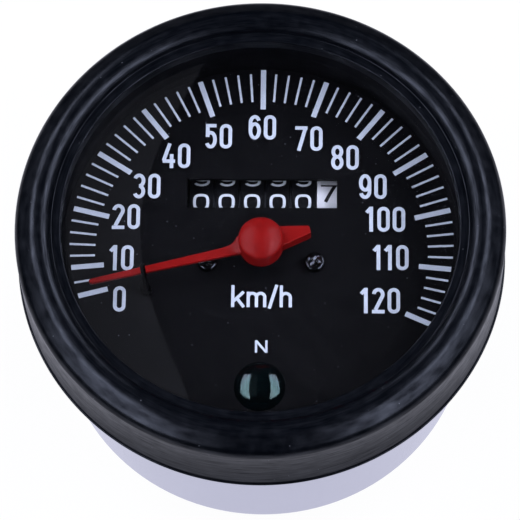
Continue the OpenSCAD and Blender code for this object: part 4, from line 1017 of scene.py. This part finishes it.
class SPEEDO_OT_stage(bpy.types.Operator):
    """Makes the floor, the lamps, the room's even light and the camera"""

    bl_idname = "speedo.stage"
    bl_label = "Stage"

    def execute(self, context):
        scene = context.scene
        look = scene.speedo_stage
        reach, gap = 0.3, 0.0002
        floor_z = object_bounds()[0].z - gap
        corners = [(x * reach, y * reach, floor_z) for x, y in ((-1, -1), (1, -1), (1, 1), (-1, 1))]
        mesh = bpy.data.meshes.new("floor")
        mesh.from_pydata(corners, [], [(0, 1, 2, 3)])
        floor = bpy.data.objects.new("floor", mesh)
        scene.collection.objects.link(floor)
        floor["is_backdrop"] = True
        # Matt white board: white to the eye, in metal and through glass, with a soft shadow on it, and clear
        # from underneath so that the back can be looked at
        material, tree, _ = begin("white_board")
        glow_share, glow, paleness = 0.93, 1.02, 0.9
        path = add(tree, "LightPath").outputs
        straight = add(tree, "Math", {0: path["Is Camera Ray"], 1: path["Is Transmission Ray"]},
                       operation="MAXIMUM").outputs[0]
        seen = add(tree, "Math", {0: straight, 1: path["Is Glossy Ray"]}, operation="MAXIMUM").outputs[0]
        share = add(tree, "Math", {0: seen, 1: glow_share}, operation="MULTIPLY").outputs[0]
        matt = add(tree, "BsdfDiffuse", {"Color": shade(look.floor, paleness)}).outputs[0]
        tone = add(tree, "MixRGB", {"Fac": straight, "Color1": shade(look.mirrored),
                                    "Color2": shade(look.floor)}).outputs[0]
        white = add(tree, "Emission", {"Color": tone, "Strength": glow}).outputs[0]
        board = add(tree, "MixShader", {0: share, 1: matt, 2: white}).outputs[0]
        clear = add(tree, "BsdfTransparent").outputs[0]
        back = add(tree, "NewGeometry").outputs["Backfacing"]
        board = add(tree, "MixShader", {0: back, 1: board, 2: clear}).outputs[0]
        add(tree, "OutputMaterial", {"Surface": board})
        mesh.materials.append(material)

        # the room is white to the eye and lights the part only dimly
        world = bpy.data.worlds.new("room")
        scene.world = world
        world.use_nodes = True
        tree = world.node_tree
        tree.nodes.clear()
        dim = add(tree, "Background", {"Color": shade(look.light), "Strength": look.sky}).outputs[0]
        white = add(tree, "Background", {"Color": shade(look.floor), "Strength": 1.0}).outputs[0]
        camera_ray = add(tree, "LightPath").outputs["Is Camera Ray"]
        room = add(tree, "MixShader", {0: camera_ray, 1: dim, 2: white}).outputs[0]
        add(tree, "OutputWorld", {"Surface": room})

        def lamp(name, power, size, place, target, across):
            """A rectangular lamp at a place, facing a target, with its first side along across."""
            data = bpy.data.lights.new(name, "AREA")
            data.shape = "RECTANGLE"
            data.energy = power
            data.color = look.light
            data.size, data.size_y = size
            light = bpy.data.objects.new(name, data)
            back = (Vector(place) - Vector(target)).normalized()
            side = (Vector(across) - back * back.dot(Vector(across))).normalized()
            turn = Matrix((side, back.cross(side), back)).transposed().to_4x4()
            light.matrix_world = Matrix.Translation(place) @ turn
            light.visible_camera = False
            scene.collection.objects.link(light)

        # two long strip lamps along Y, above the part's left and right, and a dim panel overhead that veils
        # the dial's left third
        away, tilt, middle, strip_size = 0.8, math.radians(43), 0.03, (1.7, 0.37)
        for name, side in (("strip_left", -1), ("strip_right", 1)):
            place = (side * away * math.sin(tilt), middle, away * math.cos(tilt))
            lamp(name, look.strip_power, strip_size, place, (0, middle, 0), (0, 1, 0))
        lamp("overhead_panel", look.panel_power, size=(0.93, 1.2), place=(-0.6, 0.3, 0.93),
             target=(-0.6, 0.3, 0), across=(1, 0, 0))

        # the camera looks down at 68 degrees from a little to the right, rolled by 2.5 degrees
        a, e, roll, distance = math.radians(3), math.radians(68), math.radians(2.5), 0.697
        back = Vector((math.sin(a) * math.cos(e), -math.cos(a) * math.cos(e), math.sin(e)))
        level = Vector((math.cos(a), math.sin(a), 0))
        right = math.cos(roll) * level - math.sin(roll) * back.cross(level)
        up = math.sin(roll) * level + math.cos(roll) * back.cross(level)
        data = bpy.data.cameras.new("camera")
        image_px, focal_px, shift_px = 520, 3690, (-1.4, -6.6)
        data.sensor_width = 36.0
        data.lens = focal_px / image_px * data.sensor_width
        data.shift_x, data.shift_y = (v / image_px for v in shift_px)
        data.clip_start, data.clip_end = 0.01, 50
        camera = bpy.data.objects.new("camera", data)
        turn = Matrix((right, up, back)).transposed().to_4x4()
        camera.matrix_world = Matrix.Translation(Vector((0, 0, FACE_Z * MM)) + distance * back) @ turn
        scene.collection.objects.link(camera)
        scene.camera = camera
        scene.view_settings.view_transform = "Standard"
        return {"FINISHED"}


class SPEEDO_PT_panel(bpy.types.Panel):
    """Lists the steps and the looks in the sidebar"""

    bl_idname = "SPEEDO_PT_panel"
    bl_label = "Speedometer"
    bl_space_type = "VIEW_3D"
    bl_region_type = "UI"
    bl_category = "Speedometer"

    def draw(self, context):
        for step in OPERATORS:
            self.layout.operator(step.bl_idname)
        for name, group in LOOKS.items():
            box = self.layout.box()
            for key in group.__annotations__:
                box.prop(getattr(context.scene, name), key)


LOOKS = {"speedo_ring": RingLook, "speedo_dial": DialLook, "speedo_pointer": PointerLook,
         "speedo_fittings": FittingsLook, "speedo_odometer": OdometerLook, "speedo_case": CaseLook,
         "speedo_stage": StageLook}
OPERATORS = (SPEEDO_OT_finishes, SPEEDO_OT_ring, SPEEDO_OT_glass, SPEEDO_OT_dial, SPEEDO_OT_pointer,
             SPEEDO_OT_dial_screws, SPEEDO_OT_stop_pin, SPEEDO_OT_lens, SPEEDO_OT_odometer, SPEEDO_OT_nipple,
             SPEEDO_OT_back_fasteners, SPEEDO_OT_stage)


def register():
    """Registers the classes and hangs the looks on the scene."""
    for item in (*LOOKS.values(), *OPERATORS, SPEEDO_PT_panel):
        bpy.utils.register_class(item)
    for name, group in LOOKS.items():
        setattr(bpy.types.Scene, name, PointerProperty(type=group))


def unregister():
    """Takes the looks off the scene and unregisters the classes."""
    for name in LOOKS:
        delattr(bpy.types.Scene, name)
    for item in (SPEEDO_PT_panel, *reversed(OPERATORS), *reversed(LOOKS.values())):
        bpy.utils.unregister_class(item)


def main():
    """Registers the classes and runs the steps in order."""
    register()
    bpy.ops.speedo.finishes()
    bpy.ops.speedo.ring()
    bpy.ops.speedo.glass()
    bpy.ops.speedo.dial()
    bpy.ops.speedo.pointer()
    bpy.ops.speedo.dial_screws()
    bpy.ops.speedo.stop_pin()
    bpy.ops.speedo.lens()
    bpy.ops.speedo.odometer()
    bpy.ops.speedo.nipple()
    bpy.ops.speedo.back_fasteners()
    bpy.ops.speedo.stage()


if __name__ == "__main__":
    main()
